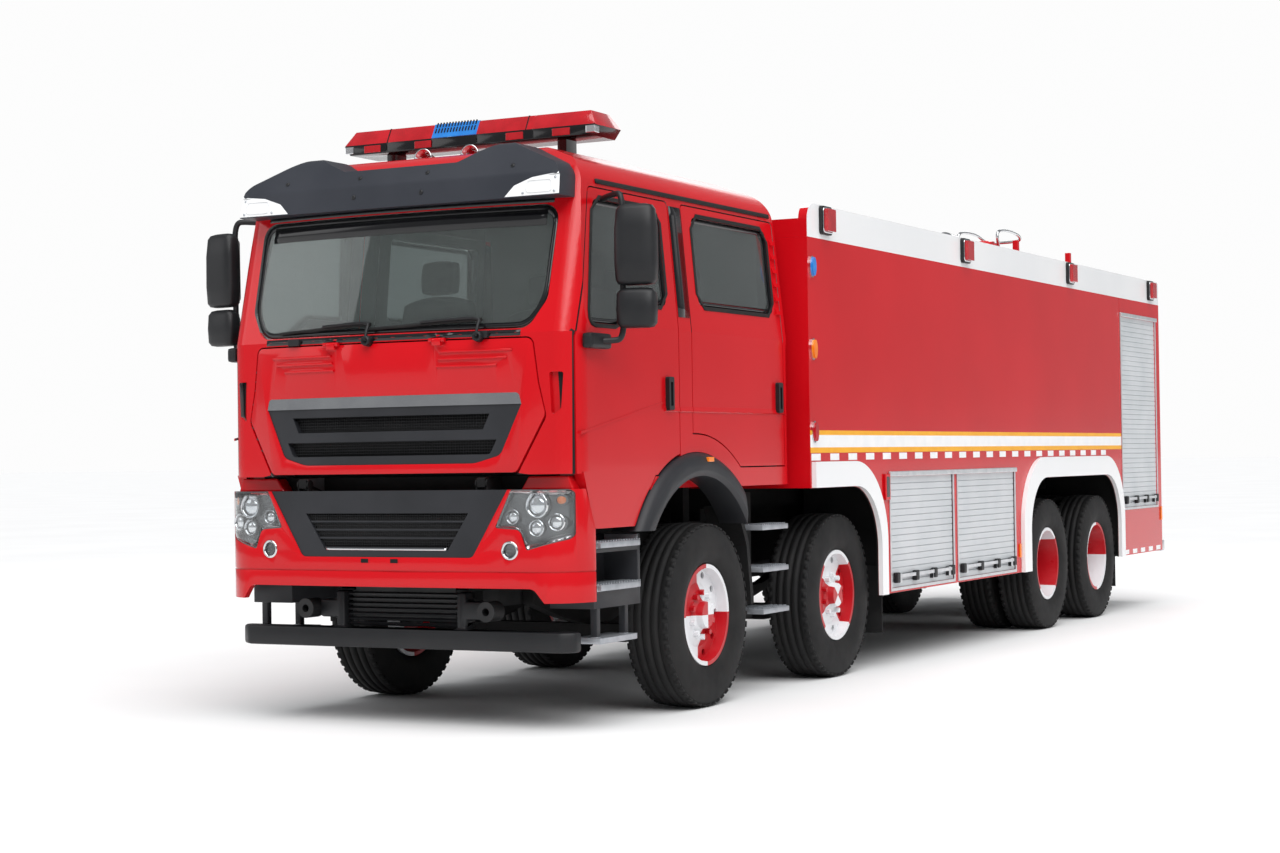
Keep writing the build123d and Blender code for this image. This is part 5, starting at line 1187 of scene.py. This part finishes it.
# lockers: bright rails round the shutters, a lamp box and amber markers on the sides
locker = {"low": ((-1.42, -0.18), (-0.07, 1.23)), "lowZ": (0.545, 1.315), "tall": (4.32, 5.48), "tallZ": (0.95, 2.70),
          "rail": 0.022, "proud": 0.007, "air": 0.0002, "gap": 0.001, "capOver": 0.03, "cap": 0.036, "capProud": 0.020,
          "clamps": 4, "clampIn": 0.07, "clampHalf": 0.030, "clampX": (-0.004, 0.031), "clampZ": (0.032, 0.104),
          "box": (-1.535, -1.447, 1.155, 1.335), "boxProud": 0.016, "boxFaceIn": (0.018, 0.02),
          "boxFaceX": (0.014, 0.0175), "markers": ((1.335, 1.372, 0.63, 0.74), (5.585, 5.622, 0.80, 0.93)),
          "markerProud": 0.012,
          "bevel": {"clamp": 0.010, "rail": 0.0015, "cap": 0.005, "box": 0.006, "face": 0.001, "marker": 0.004}}
openings = [(*run, *locker["lowZ"]) for run in locker["low"]] + [(*locker["tall"], *locker["tallZ"])]
capRuns = ((locker["low"][0][0], locker["low"][1][1], locker["lowZ"][1]), (*locker["tall"], locker["tallZ"][1]))


def wallBlocks(name, side, rows, finish, bevel):  # rows of (inner and outer standing, y0, y1, z0, z1)
    pairs = [((wallX(side, inner), y0, z0), (wallX(side, outer), y1, z1)) for inner, outer, y0, y1, z0, z1 in rows]
    blocks(name, pairs, finish, "chassis", bevel)


for name, tag, side in sides:
    rails, clamps = [], []
    air, gap, w, bevel = locker["air"], locker["gap"], locker["rail"], locker["bevel"]
    for y0, y1, z0, z1 in openings:
        rails += [(air, locker["proud"], *row) for row in (
            (y0 - w, y0 - gap, z0 - w, z1), (y1 + gap, y1 + w, z0 - w, z1), (y0 - gap, y1 + gap, z0 - w, z0 - gap))]
        low, high = locker["clampZ"]
        for y in evenly(y0 + locker["clampIn"], y1 - locker["clampIn"], locker["clamps"] - 1):
            clamps.append((*locker["clampX"], y - locker["clampHalf"], y + locker["clampHalf"], z0 + low, z0 + high))
    caps = [(air, locker["capProud"], y0 - locker["capOver"], y1 + locker["capOver"], z + gap, z + locker["cap"])
            for y0, y1, z in capRuns]
    wallBlocks(f"shutterClamps{tag}", side, clamps, "blackPlastic", bevel["clamp"])
    wallBlocks(f"shutterRails{tag}", side, rails, "brushedAlloy", bevel["rail"])
    wallBlocks(f"shutterCaps{tag}", side, caps, "brushedAlloy", bevel["cap"])
    (y0, y1, z0, z1), (inY, inZ) = locker["box"], locker["boxFaceIn"]
    wallBlocks(f"lampBox{tag}", side, [(air, locker["boxProud"], *locker["box"])], "redPaint", bevel["box"])
    wallBlocks(f"lampBoxFace{tag}", side, [(*locker["boxFaceX"], y0 + inY, y1 - inY, z0 + inZ, z1 - inZ)],
               "glossBlack", bevel["face"])
    wallBlocks(f"sideMarkers{tag}", side, [(air, locker["markerProud"], *row) for row in locker["markers"]],
               "amberLens", bevel["marker"])
rear = {"half": 0.90, "z": (0.95, 2.70), "rail": 0.026, "proud": 0.008, "capOver": 0.03, "capProud": 0.020,
        "cap": 0.036, "bevel": 0.002}
half, w, gap, (z0, z1) = rear["half"], rear["rail"], locker["gap"], rear["z"]
rearRows = (  # x from and to, how far it stands out, z from and to
    (-half - w, -half, rear["proud"], z0 - w, z1), (half, half + w, rear["proud"], z0 - w, z1),
    (-half, half, rear["proud"], z0 - w, z0 - gap),
    (-half - rear["capOver"], half + rear["capOver"], rear["capProud"], z1 + gap, z1 + rear["cap"]))
blocks("rearRails", [((x0, bodyHigh.y + locker["air"], low), (x1, bodyHigh.y + proud, high))
                     for x0, x1, proud, low, high in rearRows], "brushedAlloy", "chassis", rear["bevel"])

# roof-edge flashers: bright rims round the lenses; amber ends on the tail lamps
flasher = {"stations": (bodyLow.y + 0.28, 0.16, 2.78, bodyHigh.y - 0.32), "half": 0.076, "z": (2.909, 3.076),
           "corner": 0.03, "wide": 0.012, "standing": 0.0225, "thick": 0.009}
tailLamp = {"x": (1.21, 1.136), "y": (0.046, 0.052), "z": (0.652, 0.748), "bevel": 0.003}
for name, tag, side in sides:
    for n, y in enumerate(flasher["stations"]):
        loop = boxLoop(y - flasher["half"], y + flasher["half"], *flasher["z"], flasher["corner"])
        rows = [[(Vector((wallX(side, flasher["standing"]), *spot)), Vector((side, 0, 0))) for spot in pair]
                for pair in band(loop, -flasher["wide"], 0)]
        sheetOf(f"flasherRim{n}{tag}", rows, flasher["thick"], flasher["thick"], "chrome", "chassis", closed=True)
    corners = zip(tailLamp["x"], tailLamp["y"], tailLamp["z"])
    blocks(f"tailLamps{tag}", [[(side * x, bodyHigh.y + y, z) for x, y, z in corners]], "amberLens", "chassis",
           tailLamp["bevel"])

# roof: two filler hatches, tread plate, posts on the parapet, monitor dome and handle
hatch = {"spots": ((0.35, -1.5), (0.35, 0.7)), "segments": 56, "bolts": 8, "boltRing": 0.268,
         "boltRadius": 0.014, "boltHeight": 0.02, "boltSides": 6, "boltZ": 0.06, "grip": 0.009,
         "gripRun": ((-0.09, 0, 0.07), (-0.08, 0, 0.12), (0.08, 0, 0.12), (0.09, 0, 0.07)),
         "profile": ((0, 0), (0.0, 0.29), (0.045, 0.29), (0.05, 0.278), (0.055, 0.26), (0.075, 0.116), (0.078, 0))}
walk = {"x": (-0.95, -0.35), "y": (bodyLow.y + 0.25, 2.6), "thick": 0.006, "bevel": 0.001, "studPitch": 0.06,
        "studStart": (0.04, 0.05, 0.007), "studSize": (0.034, 0.010, 0.004), "studTurn": math.pi / 4}
post = {"spots": ((1.19, 1.56), (1.19, 2.96)), "half": 0.022, "sunk": 0.001, "high": 0.095, "bevel": 0.004}
turret = {"y": middle("monitor_swivel").y, "z": 3.36, "dome": 0.098, "domeHalf": 0.125, "domeSteps": 16, "segments": 40,
          "tube": 0.014, "handle": ((0.13, -0.02, -0.12), (0.19, -0.10, -0.02), (0.19, -0.20, 0.16), (0.19, 0.05, 0.19),
                                    (0.19, 0.36, 0.185), (0.19, 0.52, 0.15), (0.15, 0.56, 0.12))}
for n, (x, y) in enumerate(hatch["spots"]):
    deck = fromAbove("tank_body", x, y)
    lathe(f"hatch{n}", hatch["profile"], deck, (0, 0, 1), "brushedAlloy", "chassis", hatch["segments"])
    grow(f"hatchBolts{n}", nutRing, "zincSteel", "chassis", {
        "Count": hatch["bolts"], "Ring Radius": hatch["boltRing"], "Nut Radius": hatch["boltRadius"],
        "Nut Height": hatch["boltHeight"], "Sides": hatch["boltSides"],
        "Centre": deck + Vector((0, 0, hatch["boltZ"])), "Turn": Euler((0, 0, 0))})
    rod(f"hatchGrip{n}", [deck + Vector(step) for step in hatch["gripRun"]], hatch["grip"], "zincSteel", "chassis")
(x0, x1), (y0, y1), pitch = walk["x"], walk["y"], walk["studPitch"]
deckTop = fromAbove("tank_body", (x0 + x1) / 2, 0).z
blocks("treadPlate", [((x0, y0, deckTop), (x1, y1, deckTop + walk["thick"]))], "brushedAlloy", "chassis", walk["bevel"])
grow("treadStuds", blockRows, "brushedAlloy", "chassis", {
    "Count": int((y1 - y0) / pitch) - 1, "Start": Vector((x0, y0, deckTop)) + Vector(walk["studStart"]),
    "Step": (0, pitch, 0), "Rows": int((x1 - x0) / pitch), "Row Step": (pitch, 0, 0), "Size": walk["studSize"],
    "Turn": Euler((0, 0, walk["studTurn"]))})
blocks("parapetPosts", [((side * x - post["half"], y - post["half"], parapetTop - post["sunk"]),
                         (side * x + post["half"], y + post["half"], parapetTop + post["high"]))
                        for x, y in post["spots"] for _, _, side in sides], "redPaint", "chassis", post["bevel"])
arc = [math.pi * n / turret["domeSteps"] for n in range(-turret["domeSteps"] // 2, turret["domeSteps"] // 2 + 1)]
lathe("monitorDome", [(turret["domeHalf"] * math.sin(a), turret["dome"] * math.cos(a)) for a in arc],
      (0, turret["y"], turret["z"]), (1, 0, 0), "redPaint", "monitor_barrel_set", turret["segments"])
run = [*turret["handle"], *((-x, y, z) for x, y, z in reversed(turret["handle"]))]
rod("monitorHandle", [(x, turret["y"] + y, turret["z"] + z) for x, y, z in run], turret["tube"], "chrome",
    "monitor_turn_set")
print("body finished")

# camera: fitted to the photograph
camera = {"spot": (7.07, -16.08, 1.47), "azimuth": 27.92, "elevation": -0.79, "roll": -0.83, "focal": 2268,
          "pixels": 1280, "sensor": 36, "reach": 900}
studio = {"sky": (0.95, 0.97, 1.0, 1), "skyStrength": 0.30, "pageStrength": 0.98, "floorReach": 400,
          "floor": ((0.82, 0.82, 0.82), (0.85, 0.85, 0.85), 0.4, (0.6, 0.75)), "floorShine": 0.2,
          "lamps": (("key", (9, -15, 12), (0, -2, 1.5), (8, 6), 430), ("side", (14, 3, 8), (0, 1, 1.2), (12, 5), 200),
                    ("fill", (-12, -12, 7), (0, -3, 1.5), (8, 6), 200),
                    ("rear", (-4, 15, 9), (0, 3, 1.5), (10, 5), 220)),
          "sunStrength": 3.45, "sunAngle": 70, "sunFrom": (3, -4, 9)}


def aimCamera():
    a, e, r = (math.radians(camera[key]) for key in ("azimuth", "elevation", "roll"))
    back = Vector((math.sin(a) * math.cos(e), -math.cos(a) * math.cos(e), math.sin(e)))
    right = (-back).cross(Vector((0, 0, 1))).normalized()
    up = right.cross(-back)
    turned = (math.cos(r) * right + math.sin(r) * up, -math.sin(r) * right + math.cos(r) * up, back)
    data = bpy.data.cameras.new("photoCamera")
    data.sensor_width = camera["sensor"]
    data.sensor_fit = "HORIZONTAL"
    data.lens = camera["sensor"] * camera["focal"] / camera["pixels"]
    data.clip_end = camera["reach"]
    eye = bpy.data.objects.new("photoCamera", data)
    eye.matrix_world = Matrix.Translation(camera["spot"]) @ Matrix(turned).transposed().to_4x4()
    link(eye)
    bpy.context.scene.camera = eye


def addLamp(name, kind, spot, towards, power):
    data = bpy.data.lights.new(name, kind)
    data.energy = power
    lamp = bpy.data.objects.new(name, data)
    lamp.location = spot
    lamp.rotation_euler = Vector(towards).to_track_quat("Z", "Y").to_euler()
    link(lamp)
    return data


def lightStudio():
    world = bpy.data.worlds.new("studio")
    world.use_nodes = True
    tree = world.node_tree
    sky = tree.nodes["Background"]
    setInputs(sky, Color=studio["sky"], Strength=studio["skyStrength"])
    # the camera alone sees a pale page behind
    page = addNode(tree, "ShaderNodeBackground", Color=(1, 1, 1, 1), Strength=studio["pageStrength"])
    ray = addNode(tree, "ShaderNodeLightPath")
    mixed = addNode(tree, "ShaderNodeMixShader", [
        (ray.outputs["Is Camera Ray"], 0), (sky.outputs[0], 1), (page.outputs[0], 2)])
    tree.links.new(mixed.outputs[0], tree.nodes["World Output"].inputs["Surface"])
    bpy.context.scene.world = world
    for name, spot, target, size, power in studio["lamps"]:
        data = addLamp(name, "AREA", spot, Vector(spot) - Vector(target), power)
        data.shape = "RECTANGLE"
        data.size, data.size_y = size
    # a broad, even sun, so that the floor stays pale to its far end
    sun = addLamp("overcast", "SUN", (0, 0, 0), studio["sunFrom"], studio["sunStrength"])
    sun.angle = math.radians(studio["sunAngle"])


def layFloor():
    mesh = bpy.data.meshes.new("floor")
    r = studio["floorReach"]
    mesh.from_pydata([(-r, -r, 0), (r, -r, 0), (r, r, 0), (-r, r, 0)], [], [(0, 1, 2, 3)])
    mesh.materials.append(grained("paleFloor", *studio["floor"], shine=studio["floorShine"]))
    floor = bpy.data.objects.new("floor", mesh)
    link(floor)


aimCamera()
lightStudio()
layFloor()
bpy.context.scene.view_settings.view_transform = "Standard"
print("scene ready")
